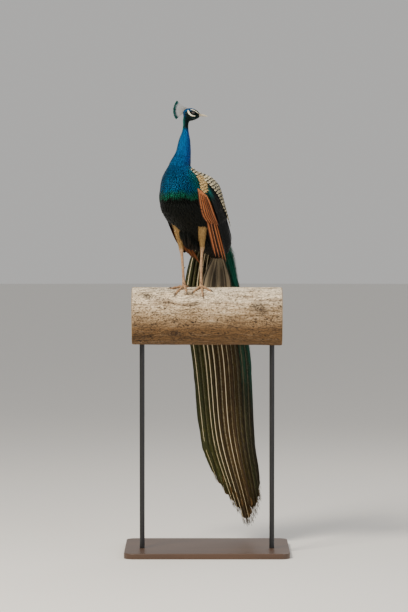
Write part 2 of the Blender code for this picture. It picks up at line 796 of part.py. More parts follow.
def train_feather(share, root_t, tip_height, out_by, finish):
    """One long feather from the rump down through the train."""
    sideways = 2 * share - 1
    root = on_body(root_t, 62 * sideways, 0.004)
    shorter = 0.20 * max(0.0, -sideways) ** 1.5 + 0.10 * max(0.0, sideways) ** 1.5
    end = tip_height + shorter * min(1.0, -tip_height)
    heights = [h for h in TRAIN_BENDS if h > end + TRAIN_EYE_LENGTH + 0.03]
    path = [root]
    normals = [hanging_frame(TRAIN, row_at_height(TRAIN, heights[0]))[2]]
    halves = [0.0030]
    for height in heights + [end + TRAIN_EYE_LENGTH, end + 0.022, end]:
        row = row_at_height(TRAIN, height)
        centre, broad, to_back, half = hanging_frame(TRAIN, row)
        arch = 0.020 * (1 - sideways**2) * (1 - 0.6 * min(1.0, row / 3))
        path.append(centre + broad * (half * sideways * 0.93) + to_back * (out_by + arch))
        normals.append(to_back)
        halves.append(TRAIN_VANE * min(1.0, 0.45 + 0.35 * row))
    halves[-2] = TRAIN_EYE
    return new_object("feather", vane(path, normals, halves, 0.0014, TRAIN_TILT), finish)


def build_train(finish):
    train = new_object("train", body_length(RUMP_START, RUMP_END, 5, 16, slide_first=GAP), finish)
    added = []
    for count, root_t, tip_height, out_by in TRAIN_ROWS:
        for k in range(count):
            added.append(train_feather(k / (count - 1), root_t, tip_height, out_by, finish))
    combined(train, "UNION", added)
    return keep_largest(train)


def train_envelope(finish):
    """Two plain closed forms round the feathered rump and the upper train, which clear a way for them."""
    over_rump = new_object("envelope", body_length(RUMP_START, RUMP_END, 7, 24, -0.004, 0.0, 0.020), finish)
    rings = []
    for row in steps(0.15, 2.2, 8):
        centre, broad, to_back, half = hanging_frame(TRAIN, row)
        rings.append(ring(centre + to_back * 0.020, broad, to_back, half + 0.012, 0.055, 0.036, 20))
    return [over_rump, new_object("envelope", loft(rings), finish)]


def build_tail(finish):
    rings = []
    for t, scale in ((0.0, 1.0), (0.5, 0.75), (1.0, 0.45)):
        centre, along, to_belly, belly, back, side = body_frame(RUMP_END)
        middle = centre + along * (GAP + TAIL_STUB_LENGTH * t) + to_belly * (0.004 * t)
        half = side * 0.8 * scale
        rings.append(ring(middle, LEFT, to_belly, half, belly * 0.8 * scale, back * 0.55 * scale, 20))
    tail = new_object("tail", loft(rings), finish)
    added = []
    for k in range(TAIL_COUNT):
        sideways = 2 * k / (TAIL_COUNT - 1) - 1
        last = row_at_height(TAIL, TAIL[-1][2] + 0.05 * sideways**2)
        path = []
        normals = []
        halves = []
        for t in LONG:
            row = last * t
            centre, broad, to_back, half = hanging_frame(TAIL, row)
            sink = 0.004 * (1 - abs(sideways)) * t
            path.append(centre + broad * (half * sideways * 0.85) - to_back * sink)
            normals.append(to_back)
            close = 1.0 if t < 0.8 else math.sqrt(max(0.0, 1 - ((t - 0.8) / 0.2) ** 2))
            halves.append(TAIL_VANE * min(1.0, 0.25 + 1.8 * t) * close)
        tilt = TAIL_TILT if sideways > 0 else -TAIL_TILT
        added.append(new_object("feather", vane(path, normals, halves, 0.0013, tilt), finish))
    combined(tail, "UNION", added)
    return keep_largest(tail)


# Legs and feet


def leg_ring(side, t, count, slide=0.0, swell=1.0):
    sign = 1 if side == "left" else -1
    rows = LEGS[side]
    forward, left, up, half = between(rows, t)
    ahead, behind = (
        on_bird(there[0], sign * there[1], there[2])
        for there in (between(rows, min(t + 0.05, len(rows) - 1.0)), between(rows, max(t - 0.05, 0.0)))
    )
    along = (ahead - behind).normalized()
    broad = (LEFT - along * LEFT.dot(along)).normalized()
    front = broad.cross(along)
    centre = on_bird(forward, sign * left, up) + along * slide
    return ring(centre, broad, front, half * 0.9 * swell, half * swell, half * swell, count)


def shank_length(side):
    """The shank with its scutes: each is a ring that stands out at its lower edge."""
    first = HOCK_ROW
    last = ANKLE_ROW
    rings = [leg_ring(side, first, SHANK_SIDES, GAP / 2)]
    for k in range(SCUTES):
        start = first + 0.35 + (last - first - 0.45) * k / SCUTES
        end = first + 0.35 + (last - first - 0.45) * (k + 0.82) / SCUTES
        rings.append(leg_ring(side, start, SHANK_SIDES))
        rings.append(leg_ring(side, end, SHANK_SIDES, 0.0, 1.0 + SCUTE_RISE))
    rings.append(leg_ring(side, last, SHANK_SIDES, -GAP / 2))
    return loft(rings)


def leg_length(side, first, last, stations, count, slide_first=0.0, slide_last=0.0):
    rings = [leg_ring(side, t, count) for t in steps(first, last, stations)]
    rings[0] = leg_ring(side, first, count, slide_first)
    rings[-1] = leg_ring(side, last, count, slide_last)
    return loft(rings)


def spur(side, finish):
    """The cock's spur on the back of the shank."""
    rings = []
    middle = sum(leg_ring(side, SPUR_ROW, 10), Vector()) / 10
    back = -FORWARD
    for share in (0.0, 0.4, 0.75):
        centre = middle + back * (0.002 + SPUR_LENGTH * share) + UP * (0.004 * share)
        half = 0.0034 * (1 - 0.75 * share)
        rings.append(ring(centre, LEFT, UP, half, half, half, 8))
    tip = middle + back * (0.002 + SPUR_LENGTH) + UP * 0.006
    return new_object("spur", loft(rings, tip), finish)


def toe(ground, heading, length, finish):
    """A toe lying over the trunk, with its joints' pads and its claw; its length runs round the trunk."""
    way = turned(heading)
    round_to_ground = PERCH_RADIUS * math.asin(ground.y / PERCH_RADIUS)

    def at(reach, lift):
        round_to = round_to_ground + way.y * reach
        return on_perch(ground.x + way.x * reach, PERCH_RADIUS * math.sin(round_to / PERCH_RADIUS), lift)

    rings = []
    stations = (0.0, 0.20, 0.36, 0.52, 0.68, 0.84, 1.0)
    pads = (1.0, 1.05, 0.80, 0.98, 0.76, 0.88, 0.45)
    for share, pad in zip(stations, pads):
        reach = length * share
        half = TOE_RADIUS * pad * (1.0 - 0.25 * share)
        centre = at(reach, half * 0.80 + 0.004 * (1 - share) ** 2)
        along = (at(reach + 0.004, half * 0.80) - at(reach - 0.004, half * 0.80)).normalized()
        broad = along.cross(UP).normalized()
        rings.append(ring(centre, broad, broad.cross(along), half, half, half, 6))
    claw = at(length + CLAW_LENGTH * 0.5, 0.0030)
    rings.append(ring(claw, broad, broad.cross(along), 0.0013, 0.0016, 0.0016, 6))
    return new_object("toe", loft(rings, at(length + CLAW_LENGTH, 0.0006)), finish)


def build_leg(side, thigh_finish, scale_finish, torso, perch):
    length = leg_length(side, 0.0, HOCK_ROW, 9, 18, slide_last=-GAP / 2)
    thigh = new_object("thigh_" + side, length, thigh_finish)
    cut_by(thigh, torso)
    keep_largest(thigh)
    shank = new_object("shank_" + side, shank_length(side), scale_finish)
    combined(shank, "UNION", [spur(side, scale_finish)])
    last = len(LEGS[side]) - 1.0
    ankle = leg_length(side, ANKLE_ROW, last, 3, 10, slide_first=GAP / 2)
    foot = new_object("foot_" + side, ankle, scale_finish)
    ground = sum(leg_ring(side, last, 10), Vector()) / 10
    heading = FOOT_HEADING[side]
    toes = [toe(ground, heading + turn, length, scale_finish) for turn, length in TOES]
    palm = on_perch(ground.x, ground.y, 0.0055)
    toes.append(new_object("palm", ball(palm, (0.0098, 0.0098, 0.0070), None, 10, 6), scale_finish))
    combined(foot, "UNION", toes)
    cut_by(foot, perch)
    keep_largest(foot)


def main():
    for old in list(bpy.data.objects):
        bpy.data.objects.remove(old)
    blue = material("blue_neck", (0.005, 0.085, 0.24), 0.35)
    dark = material("black_green_body", (0.010, 0.035, 0.030), 0.5)
    face = material("head_plumage", (0.010, 0.060, 0.110), 0.4)
    wing_finish = material("wing_plumage", (0.33, 0.13, 0.06), 0.6)
    train_finish = material("train_plumage", (0.045, 0.075, 0.020), 0.5)
    tail_finish = material("tail_brown", (0.13, 0.10, 0.07), 0.7)
    buff = material("thigh_buff", (0.42, 0.33, 0.22), 0.8)
    scales = material("leg_scales", (0.30, 0.24, 0.20), 0.6)
    horn = material("bill_horn", (0.42, 0.38, 0.31), 0.4)
    eye_finish = material("eye_dark", (0.02, 0.012, 0.008), 0.08)
    bark = material("weathered_wood", (0.38, 0.31, 0.23), 0.85)
    steel = material("stand_steel", (0.10, 0.10, 0.10), 0.4, 0.9)
    plinth = material("stand_wood", (0.06, 0.045, 0.035), 0.5)

    base, rods = build_stand(steel, plinth)
    perch = build_perch(bark, rods)

    torso = build_torso(dark)
    bills = build_bill(horn)
    eyes = build_eyes(eye_finish)
    build_head(face, bills, eyes)
    build_neck(blue)
    rump = new_object("rump", body_length(RUMP_START, RUMP_END, 5, 16), dark)
    for name, side in (("wing_left", 1), ("wing_right", -1)):
        build_wing(name, side, wing_finish, torso, rump, train_envelope(dark))
    bpy.data.objects.remove(rump)
    build_train(train_finish)
    build_tail(tail_finish)
    for side in ("left", "right"):
        build_leg(side, buff, scales, torso, perch)
    for obj in bpy.context.scene.objects:
        print(obj.name, len(obj.data.vertices), sum(len(f.vertices) - 2 for f in obj.data.polygons))


main()
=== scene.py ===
# %% [markdown]
# # Indian peafowl cock on a cut length of trunk
# A life-size museum model: the bird, its perch and a plain stand. The solid parts come from a packed
# frame, in metres with +Z up. This lesson dresses them: one skin under the plumage, feathers of solid
# mesh in rows, scaled legs, a horn bill, glossy eyes and weathered wood.

# %% Load the frame
import math
from functools import partial

import bmesh
import bpy
import numpy as np
from mathutils import Matrix, Vector, noise
from mathutils.bvhtree import BVHTree
from mathutils.kdtree import KDTree


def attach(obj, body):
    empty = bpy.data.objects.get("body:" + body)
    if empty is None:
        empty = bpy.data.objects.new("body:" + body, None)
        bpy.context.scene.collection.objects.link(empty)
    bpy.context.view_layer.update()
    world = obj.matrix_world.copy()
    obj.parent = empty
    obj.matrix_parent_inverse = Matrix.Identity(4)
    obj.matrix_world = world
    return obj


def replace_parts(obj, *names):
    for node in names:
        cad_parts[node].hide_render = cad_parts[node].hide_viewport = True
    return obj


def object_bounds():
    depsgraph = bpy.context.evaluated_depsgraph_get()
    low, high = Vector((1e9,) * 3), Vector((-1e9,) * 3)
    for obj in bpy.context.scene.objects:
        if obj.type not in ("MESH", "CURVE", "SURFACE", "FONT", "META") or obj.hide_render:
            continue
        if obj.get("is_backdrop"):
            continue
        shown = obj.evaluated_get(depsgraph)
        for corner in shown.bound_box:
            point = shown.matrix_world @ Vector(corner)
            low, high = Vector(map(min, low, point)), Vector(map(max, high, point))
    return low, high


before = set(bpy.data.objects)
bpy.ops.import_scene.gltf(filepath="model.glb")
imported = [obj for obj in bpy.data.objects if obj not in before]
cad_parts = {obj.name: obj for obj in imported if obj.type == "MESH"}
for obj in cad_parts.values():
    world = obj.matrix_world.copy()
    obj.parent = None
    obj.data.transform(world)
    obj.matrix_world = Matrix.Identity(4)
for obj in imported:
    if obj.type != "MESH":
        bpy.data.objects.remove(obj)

cad_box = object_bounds()
print("nodes in the frame:", len(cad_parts))

# %% [markdown]
# ## Camera, light and floor
# The picture was taken from far away with a long lens, almost level with the bird. A long lens keeps
# the near and far feathers the same size, so the camera stands twelve metres off and looks down by a
# couple of degrees. The frame shows 2.448 metres from top to bottom.

# %% Camera
PERCH_TOP = 1.070
VIEW_HEIGHT = 2.448
CAMERA_DISTANCE = 12.0
CAMERA_ELEVATION = math.radians(2.5)
SENSOR = 36.0

scene = bpy.context.scene
target = Vector((-0.012, 0.0, PERCH_TOP - 0.076))
towards_camera = Vector((0.0, -math.cos(CAMERA_ELEVATION), math.sin(CAMERA_ELEVATION)))
camera_data = bpy.data.cameras.new("camera")
camera_data.lens = SENSOR * CAMERA_DISTANCE / VIEW_HEIGHT
camera_data.clip_end = 100.0
camera = bpy.data.objects.new("camera", camera_data)
camera.location = target + towards_camera * CAMERA_DISTANCE
camera.rotation_euler = (-towards_camera).to_track_quat("-Z", "Y").to_euler()
scene.collection.objects.link(camera)
scene.camera = camera


# %% Lights
def soft_light(name, place, size, power, colour):
    """A square area light that looks at the bird."""
    data = bpy.data.lights.new(name, "AREA")
    data.size = size
    data.energy = power
    data.color = colour
    light = bpy.data.objects.new(name, data)
    light.location = place
    light.rotation_euler = (target - Vector(place)).to_track_quat("-Z", "Y").to_euler()
    scene.collection.objects.link(light)


soft_light("key", (-2.0, -3.0, 4.2), 1.3, 330.0, (1.0, 0.93, 0.80))
soft_light("fill", (3.4, -2.6, 1.8), 2.6, 50.0, (0.90, 0.95, 1.0))
soft_light("rim", (1.6, 3.4, 3.6), 1.6, 40.0, (1.0, 0.95, 0.88))

world = bpy.data.worlds.new("studio")
world.use_nodes = True
sky = world.node_tree.nodes["Background"]
sky.inputs["Color"].default_value = (0.84, 0.83, 0.81, 1.0)
sky.inputs["Strength"].default_value = 0.60
scene.world = world

# %% [markdown]
# ## A way to write shaders
# A finish is a Principled shader with nodes before it. Wrapping each socket in a small class lets the
# maths be written as plain expressions, and each expression adds its own Math node.


# %% Sockets and finishes
def linear(red, green, blue):
    """A colour as a picture shows it, 0 to 255, in the linear values that shaders use."""
    shares = (red / 255, green / 255, blue / 255)
    return tuple(c / 12.92 if c <= 0.04045 else ((c + 0.055) / 1.055) ** 2.4 for c in shares)


class Socket:
    """A shader socket that takes part in expressions."""

    def __init__(self, finish, socket):
        self.finish = finish
        self.socket = socket

    def maths(self, operation, *others, clamp=False):
        settings = {"operation": operation, "use_clamp": clamp}
        return self.finish.add("ShaderNodeMath", settings, self, *others)[0]

    def __add__(self, other):
        return self.maths("ADD", other)

    def __mul__(self, other):
        return self.maths("MULTIPLY", other)

    __radd__ = __add__
    __rmul__ = __mul__

    def __sub__(self, other):
        return self.maths("SUBTRACT", other)

    def __rsub__(self, other):
        return self * -1.0 + other

    def __truediv__(self, other):
        return self.maths("DIVIDE", other)

    def __pow__(self, other):
        return self.maths("POWER", other)

    def __abs__(self):
        return self.maths("ABSOLUTE")

    def sin(self):
        return self.maths("SINE")

    def wave(self):
        """From 0 to 1 and back, once for each whole step of the value."""
        return (self * 6.2832).sin() * 0.5 + 0.5

    def between(self, low, high):
        """0 below low, 1 above high, and even in between; high may be the smaller one."""
        return ((self - low) * (1.0 / (high - low))).maths("MULTIPLY", 1.0, clamp=True)


class Finish:
    """A material: its Principled shader and the nodes that feed it."""

    def __init__(self, name, **constants):
        self.material = bpy.data.materials.new(name)
        self.material.use_nodes = True
        self.tree = self.material.node_tree
        self.shader = self.tree.nodes["Principled BSDF"]
        for socket, value in constants.items():
            self.shader.inputs[socket.replace("_", " ")].default_value = value

    def put(self, socket, value):
        """Links a value to a node's input, or sets it there."""
        if isinstance(value, Socket):
            self.tree.links.new(value.socket, socket)
        elif isinstance(value, tuple) and len(value) == 3 and len(socket.default_value) == 4:
            socket.default_value = (*value, 1.0)
        else:
            socket.default_value = value

    def add(self, kind, settings=None, *inputs, **named):
        """Adds a node: its settings first, then its inputs by place or by name. Returns its outputs."""
        node = self.tree.nodes.new(kind)
        for key, value in (settings or {}).items():
            setattr(node, key, value)
        for socket, value in zip(node.inputs, inputs):
            self.put(socket, value)
        for name, value in named.items():
            self.put(node.inputs[name.replace("_", " ")], value)
        return [Socket(self, output) for output in node.outputs]

    def mix(self, factor, first, second, how="MIX"):
        """A colour between two colours."""
        node = self.tree.nodes.new("ShaderNodeMix")
        node.data_type = "RGBA"
        node.blend_type = how
        for place, value in ((0, factor), (6, first), (7, second)):
            self.put(node.inputs[place], value)
        return Socket(self, node.outputs[2])

    def layered(self, colour, *layers):
        """A colour under layers, each given as how much it covers and its own colour from 0 to 255."""
        for cover, over in layers:
            colour = self.mix(cover, colour, linear(*over))
        return colour

    def toned(self, colour, tone):
        """A colour times a tone."""
        grey = self.add("ShaderNodeCombineColor", None, tone, tone, tone)[0]
        return self.mix(1.0, colour, grey, "MULTIPLY")

    def vector(self, operation, *inputs):
        """The outputs of one step of vector maths."""
        return self.add("ShaderNodeVectorMath", {"operation": operation}, *inputs)

    def place(self, scale=(1.0, 1.0, 1.0), centre=(0.0, 0.0, 0.0)):
        """Object coordinates in metres from centre, times scale."""
        coordinates = self.add("ShaderNodeTexCoord")[3]
        moved = self.vector("SUBTRACT", coordinates, tuple(float(c) for c in centre))[0]
        return self.vector("MULTIPLY", moved, tuple(float(c) for c in scale))[0]

    def split(self, vector):
        return self.add("ShaderNodeSeparateXYZ", None, vector)

    def noise(self, vector, scale, detail=3.0, roughness=0.55):
        named = {"Vector": vector, "Scale": scale, "Detail": detail, "Roughness": roughness}
        return self.add("ShaderNodeTexNoise", None, **named)[0]

    def vane(self):
        """Across a feather from -1 to 1, and along it from 0 to 1."""
        return self.split(self.add("ShaderNodeUVMap", {"uv_map": "vane"})[0])[:2]

    def kind(self):
        """1 on a feather's outer face and 0 on its under face, and its own random number."""
        return self.split(self.add("ShaderNodeUVMap", {"uv_map": "kind"})[0])[:2]

    def plumage(self):
        return self.add("ShaderNodeAttribute", {"attribute_name": "plumage"})[0]

    def colour(self, value):
        self.put(self.shader.inputs["Base Color"], value)

    def bump(self, height, distance, strength=1.0):
        bumped = self.add("ShaderNodeBump", None, Strength=strength, Distance=distance, Height=height)[0]
        self.put(self.shader.inputs["Normal"], bumped)


# %% Floor
floor_mesh = bmesh.new()
bmesh.ops.create_circle(floor_mesh, cap_ends=True, segments=64, radius=30.0)
bmesh.ops.translate(floor_mesh, verts=floor_mesh.verts, vec=(0.0, 0.0, -0.0005))
floor_data = bpy.data.meshes.new("floor")
floor_mesh.to_mesh(floor_data)
floor_mesh.free()
floor = bpy.data.objects.new("floor", floor_data)
scene.collection.objects.link(floor)
floor_finish = Finish("pale_floor", Roughness=0.9)
floor_finish.colour((0.82, 0.80, 0.77))
floor_data.materials.append(floor_finish.material)
floor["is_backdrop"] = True

# %% [markdown]
# ## The bird's form in numbers
# The body, head, wings, train and legs are the same smooth curves through a few named rows as in the
# solids, so every feather can be set in the right place by asking a form for a point. Working on whole
# arrays of points at once keeps thousands of feathers quick.

# %% Curves through rows
BIRD_PLACE = np.array((-0.060, -0.020, PERCH_TOP))
BODY_HEADING = -125.0
UP = np.array((0.0, 0.0, 1.0))
draw = np.random.default_rng(11)


def turned(degrees):
    return np.array((math.cos(math.radians(degrees)), math.sin(math.radians(degrees)), 0.0))


FORWARD = turned(BODY_HEADING)
LEFT = turned(BODY_HEADING + 90.0)


def unit(vectors):
    return vectors / np.maximum(np.linalg.norm(vectors, axis=-1, keepdims=True), 1e-12)


def dot(first, second):
    return (first * second).sum(-1, keepdims=True)


def between(rows, t):
    """The smooth curve through the rows, at t rows along."""
    rows = np.asarray(rows, float)
    t = np.asarray(t, float)
    i = np.clip(t.astype(int), 0, len(rows) - 2)
    x = (t - i)[..., None]
    p, q, r, s = (rows[np.clip(i + k, 0, len(rows) - 1)] for k in (-1, 0, 1, 2))
    return 0.5 * (2 * q + (r - p) * x + (2 * p - 5 * q + 4 * r - s) * x**2 + (3 * q - p - 3 * r + s) * x**3)


def before_and_after(rows, t):
    """The curve's values a little before t and a little after it."""
    t = np.asarray(t)
    return between(rows, np.maximum(t - 0.05, 0.0)), between(rows, np.minimum(t + 0.05, len(rows) - 1.0))


def on_bird(forward, left, up):
    """Points given in the bird's own directions, from between its feet."""
    forward, left, up = (np.asarray(v, float)[..., None] for v in (forward, left, up))
    return BIRD_PLACE + FORWARD * forward + LEFT * left + UP * up


# %% Body
# Forward, up, half depth to the belly, half depth to the back, half width, from head to tail
SPINE = (
    (0.0370, 0.690, 0.0105, 0.0105, 0.0105),
    (0.0410, 0.666, 0.0138, 0.0138, 0.0133),
    (0.0435, 0.640, 0.0116, 0.0116, 0.0114),
    (0.0455, 0.615, 0.0152, 0.0152, 0.0148),
    (0.0495, 0.590, 0.0225, 0.0225, 0.0220),
    (0.0540, 0.564, 0.0275, 0.0275, 0.0265),
    (0.0590, 0.535, 0.0315, 0.0315, 0.0305),
    (0.0695, 0.508, 0.0380, 0.0380, 0.0370),
    (0.0820, 0.478, 0.0500, 0.0480, 0.0475),
    (0.0770, 0.432, 0.0960, 0.0800, 0.0760),
    (0.0450, 0.370, 0.1310, 0.1120, 0.0950),
    (0.0000, 0.305, 0.1080, 0.1180, 0.1000),
    (-0.0550, 0.250, 0.0920, 0.1120, 0.0920),
    (-0.1100, 0.205, 0.0780, 0.0860, 0.0720),
    (-0.1550, 0.165, 0.0500, 0.0560, 0.0520),
    (-0.1850, 0.130, 0.0300, 0.0320, 0.0340),
)


def body_frame(t):
    """Centre, way along towards the tail, way to the belly and half sizes of the body at t rows."""
    forward, up, belly, back, side = np.moveaxis(between(SPINE, t), -1, 0)
    before, after = before_and_after(SPINE, t)
    change = after - before
    along = unit(FORWARD * change[..., :1] + UP * change[..., 1:2])
    return on_bird(forward, 0.0, up), along, np.cross(along, LEFT), belly, back, side


def body(t, turn, depth=0.0):
    """Points of the body, turn degrees from the middle of the back to its left, depth below the coat."""
    centre, _, to_belly, belly, back, side = body_frame(t)
    angle = np.radians(turn)
    deep = np.where(np.cos(angle) > 0, back, belly) - depth
    return (
        centre
        + LEFT * (np.sin(angle) * (side - depth))[..., None]
        - to_belly * (np.cos(angle) * deep)[..., None]
    )


def coat_depth(t):
    """How far the skin lies under the outline of the feathers."""
    return np.interp(t, (0.0, 4.0, 8.0, 9.5, 13.0, 15.0), (0.0012, 0.0016, 0.0028, 0.0045, 0.0045, 0.0030))


# %% Head
HEAD = (
    Matrix.Translation((-0.0615, -0.059, PERCH_TOP + 0.690))
    @ Matrix.Rotation(math.radians(-8.0), 4, "Z")
    @ Matrix.Rotation(math.radians(3.0), 4, "Y")
)
HEAD_AXES = np.array(HEAD.to_3x3())
HEAD_PLACE = np.array(HEAD.translation)
# Forward, middle height, half height above and below it, half width
SKULL = (
    (-0.0335, 0.0020, 0.0030, 0.0030, 0.0030),
    (-0.0310, 0.0005, 0.0110, 0.0120, 0.0095),
    (-0.0245, -0.0005, 0.0180, 0.0200, 0.0145),
    (-0.0140, -0.0015, 0.0230, 0.0255, 0.0175),
    (-0.0030, -0.0020, 0.0245, 0.0275, 0.0182),
    (0.0080, -0.0025, 0.0235, 0.0235, 0.0170),
    (0.0180, -0.0030, 0.0190, 0.0180, 0.0140),
    (0.0265, -0.0035, 0.0130, 0.0130, 0.0104),
    (0.0325, -0.0040, 0.0080, 0.0085, 0.0068),
)
# Forward, height of the mouth line, height above it, depth below it, half width
BILL = (
    (0.0220, -0.0042, 0.0072, 0.0046, 0.0066),
    (0.0330, -0.0042, 0.0068, 0.0042, 0.0060),
    (0.0430, -0.0046, 0.0058, 0.0034, 0.0049),
    (0.0520, -0.0054, 0.0046, 0.0024, 0.0036),
    (0.0590, -0.0066, 0.0033, 0.0011, 0.0023),
    (0.0635, -0.0080, 0.0021, 0.0, 0.0012),
    (0.0655, -0.0096, 0.0008, 0.0, 0.0005),
)
EYE = np.array((0.0085, 0.0125, 0.0045))
EYE_RADIUS = 0.0062


def in_head(points):
    """Points in the world of points given forward, left and up in the head."""
    return np.asarray(points, float) @ HEAD_AXES.T + HEAD_PLACE


def to_head(points):
    """Points in the head's own directions."""
    return (np.asarray(points, float) - HEAD_PLACE) @ HEAD_AXES


def head(t, turn, depth=0.0):
    """Points of the head, turn degrees from its top round to its left."""
    forward, middle, above, below, half = np.moveaxis(between(SKULL, t), -1, 0)
    angle = np.radians(turn)
    deep = np.where(np.cos(angle) > 0, above, below) - depth
    left = np.sin(angle) * (half - depth)
    return in_head(np.stack(np.broadcast_arrays(forward, left, middle + np.cos(angle) * deep), axis=-1))


# %% Wings
WRIST = np.array((0.102, 0.0, 0.400))
WING_AHEAD = {1: -0.006, -1: 0.014}
WING_PITCH = math.radians(60.0)
WING_LENGTH = 0.36
WING_WIDTH = 0.155
WING_ALONG = np.array((-math.cos(WING_PITCH), 0, -math.sin(WING_PITCH)))
WING_ACROSS = np.array((-math.sin(WING_PITCH), 0, math.cos(WING_PITCH)))


def wing_sheet(a, b):
    """The folded wing's sheet: a goes along it from the wrist, b across it to its back edge."""
    a, b = np.broadcast_arrays(np.asarray(a, float), np.asarray(b, float))
    out = 0.110 - 0.018 * np.maximum(0.0, a - 0.3) / 0.7
    out = out - 0.046 * (np.maximum(0.0, b - 0.35) / 0.65) ** 2
    out = out - 0.012 * (np.maximum(0.0, 0.25 - b) / 0.25) ** 2
    out = out - 0.030 * (np.maximum(0.0, 0.25 - a) / 0.25) ** 2
    flat = WRIST + WING_ALONG * (a * WING_LENGTH)[..., None] + WING_ACROSS * (b * WING_WIDTH)[..., None]
    return np.stack((flat[..., 0], out, flat[..., 2]), axis=-1)


def wing(a, b, lift, side):
    """Points over the sheet in the world, and the way out there, for the wing on that side."""
    near = 0.02
    across = wing_sheet(a, b + near) - wing_sheet(a, b - near)
    along = wing_sheet(a + near, b) - wing_sheet(a - near, b)
    out = unit(np.cross(across, along))
    out = out * np.where(out[..., 1:2] < 0, -1.0, 1.0)
    point = wing_sheet(a, b) + out * np.asarray(lift, float)[..., None]
    outward = FORWARD * out[..., :1] + LEFT * (side * out[..., 1:2]) + UP * out[..., 2:]
    return on_bird(point[..., 0] + WING_AHEAD[side], side * point[..., 1], point[..., 2]), outward


# %% Train and tail
# X and y from the bird's place, height over the trunk's top, half width, turn of the broad side from +X
TRAIN = (
    (0.084, 0.1580, 0.165, 0.064, -33.0),
    (0.074, 0.2010, 0.060, 0.096, -26.0),
    (0.078, 0.226, -0.070, 0.113, -18.0),
    (0.112, 0.238, -0.240, 0.114, -14.0),
    (0.119, 0.246, -0.430, 0.115, -14.0),
    (0.144, 0.262, -0.630, 0.106, -14.0),
    (0.184, 0.284, -0.800, 0.090, -14.0),
    (0.220, 0.306, -0.940, 0.072, -14.0),
    (0.238, 0.318, -1.020, 0.060, -14.0),
)
TAIL = (
    (0.108, 0.155, 0.122, 0.020, -33.0),
    (0.104, 0.168, 0.060, 0.046, -28.0),
    (0.100, 0.178, -0.020, 0.062, -20.0),
    (0.100, 0.182, -0.120, 0.072, -16.0),
    (0.102, 0.186, -0.225, 0.078, -14.0),
)


def hanging(rows, t):
    """Centre, broad way, way to the back and half width of a hanging fan at t rows."""
    x, y, up, half, turn = np.moveaxis(between(rows, t), -1, 0)
    before, after = before_and_after(rows, t)
    along = unit((after - before)[..., :3])
    angle = np.radians(turn)
    broad = np.stack((np.cos(angle), np.sin(angle), 0 * angle), axis=-1)
    broad = unit(broad - along * dot(broad, along))
    to_back = np.cross(broad, along)
    to_back = to_back * np.where(to_back[..., 1:2] < 0, -1.0, 1.0)
    return BIRD_PLACE + np.stack((x, y, up), axis=-1), broad, to_back, half


def row_at(rows, height):
    """How many rows along the fan's line a height lies."""
    t = np.linspace(0.0, len(rows) - 1.0, 400)
    heights = between(rows, t)[:, 2]
    return np.interp(-np.asarray(height, float), -heights, t)


# %% Legs
# Forward, left (for the left leg), up, half thickness, from inside the thigh to the ankle
LEGS = {
    "right": (
        (0.068, 0.022, 0.295, 0.0360),
        (0.057, 0.026, 0.255, 0.0260),
        (0.038, 0.036, 0.215, 0.0185),
        (0.020, 0.042, 0.178, 0.0125),
        (0.013, 0.043, 0.150, 0.0098),
        (0.014, 0.039, 0.128, 0.0066),
        (0.016, 0.033, 0.075, 0.0058),
        (0.018, 0.028, 0.028, 0.0064),
        (0.018, 0.026, 0.009, 0.0080),
    ),
    "left": (
        (0.030, 0.064, 0.290, 0.0340),
        (0.022, 0.062, 0.255, 0.0240),
        (0.006, 0.053, 0.215, 0.0160),
        (-0.012, 0.041, 0.182, 0.0120),
        (-0.024, 0.034, 0.158, 0.0098),
        (-0.023, 0.032, 0.135, 0.0066),
        (-0.020, 0.031, 0.080, 0.0058),
        (-0.018, 0.032, 0.028, 0.0064),
        (-0.018, 0.032, 0.009, 0.0080),
    ),
}
HOCK_ROW = 4.0
SPUR_ROW = 6.0
FOOT_HEADING = {"right": -120.0, "left": -84.0}
TOES = ((0.0, 0.072), (42.0, 0.056), (-42.0, 0.058), (180.0, 0.032))
TOE_RADIUS = 0.0055
CLAW_LENGTH = 0.011


def leg(side, t, turn, depth=0.0):
    """Points of a leg, turn degrees from its front round to the bird's left."""
    sign = 1 if side == "left" else -1

    def middle(row):
        return on_bird(row[..., 0], sign * row[..., 1], row[..., 2])

    row = between(LEGS[side], t)
    half = row[..., 3]
    before, after = before_and_after(LEGS[side], t)
    along = unit(middle(after) - middle(before))
    broad = unit(LEFT - along * dot(along, LEFT))
    front = np.cross(broad, along)
    front = front * np.where(dot(front, FORWARD) < 0, -1.0, 1.0)
    angle = np.radians(turn)
    return (
        middle(row)
        + broad * (np.sin(angle) * (half * 0.9 - depth))[..., None]
        + front * (np.cos(angle) * (half - depth))[..., None]
    )


def leg_middle(side, t):
    """The middle of a leg at one place along it."""
    return leg(side, np.full(8, t), np.linspace(0, 360, 8, endpoint=False)).mean(axis=0)


# %% [markdown]
# ## One skin
# A bird's skin runs without a seam from the bill over the neck, the body, the folded arms of the wings
# and the thighs. Each part starts as a row of circles that are set on the form and bridged. A voxel
# remesh then melts them into one closed skin, and a few rounds of smoothing soften the folds.


# %% Lofts from circles
def bridged(bm, rings):
    """Bridges rings of points into a closed tube; each ring starts as the circle that the operator makes."""
    loops = []
    for points in rings:
        circle = bmesh.ops.create_circle(bm, segments=len(points), radius=1.0)["verts"]
        for vert, point in zip(circle, points):
            vert.co = point
        loops.append(circle)
    edges = [list({e for v in loop for e in v.link_edges}) for loop in loops]
    for first, second in zip(edges, edges[1:]):
        bmesh.ops.bridge_loops(bm, edges=first + second)
    for rim in (edges[0], edges[-1]):
        bmesh.ops.holes_fill(bm, edges=rim, sides=0)


def to_object(name, bm, *finishes):
    """A piece at the origin, riding on the model's one body."""
    mesh = bpy.data.meshes.new(name)
    bm.to_mesh(mesh)
    bm.free()
    return finished(name, mesh, *finishes)


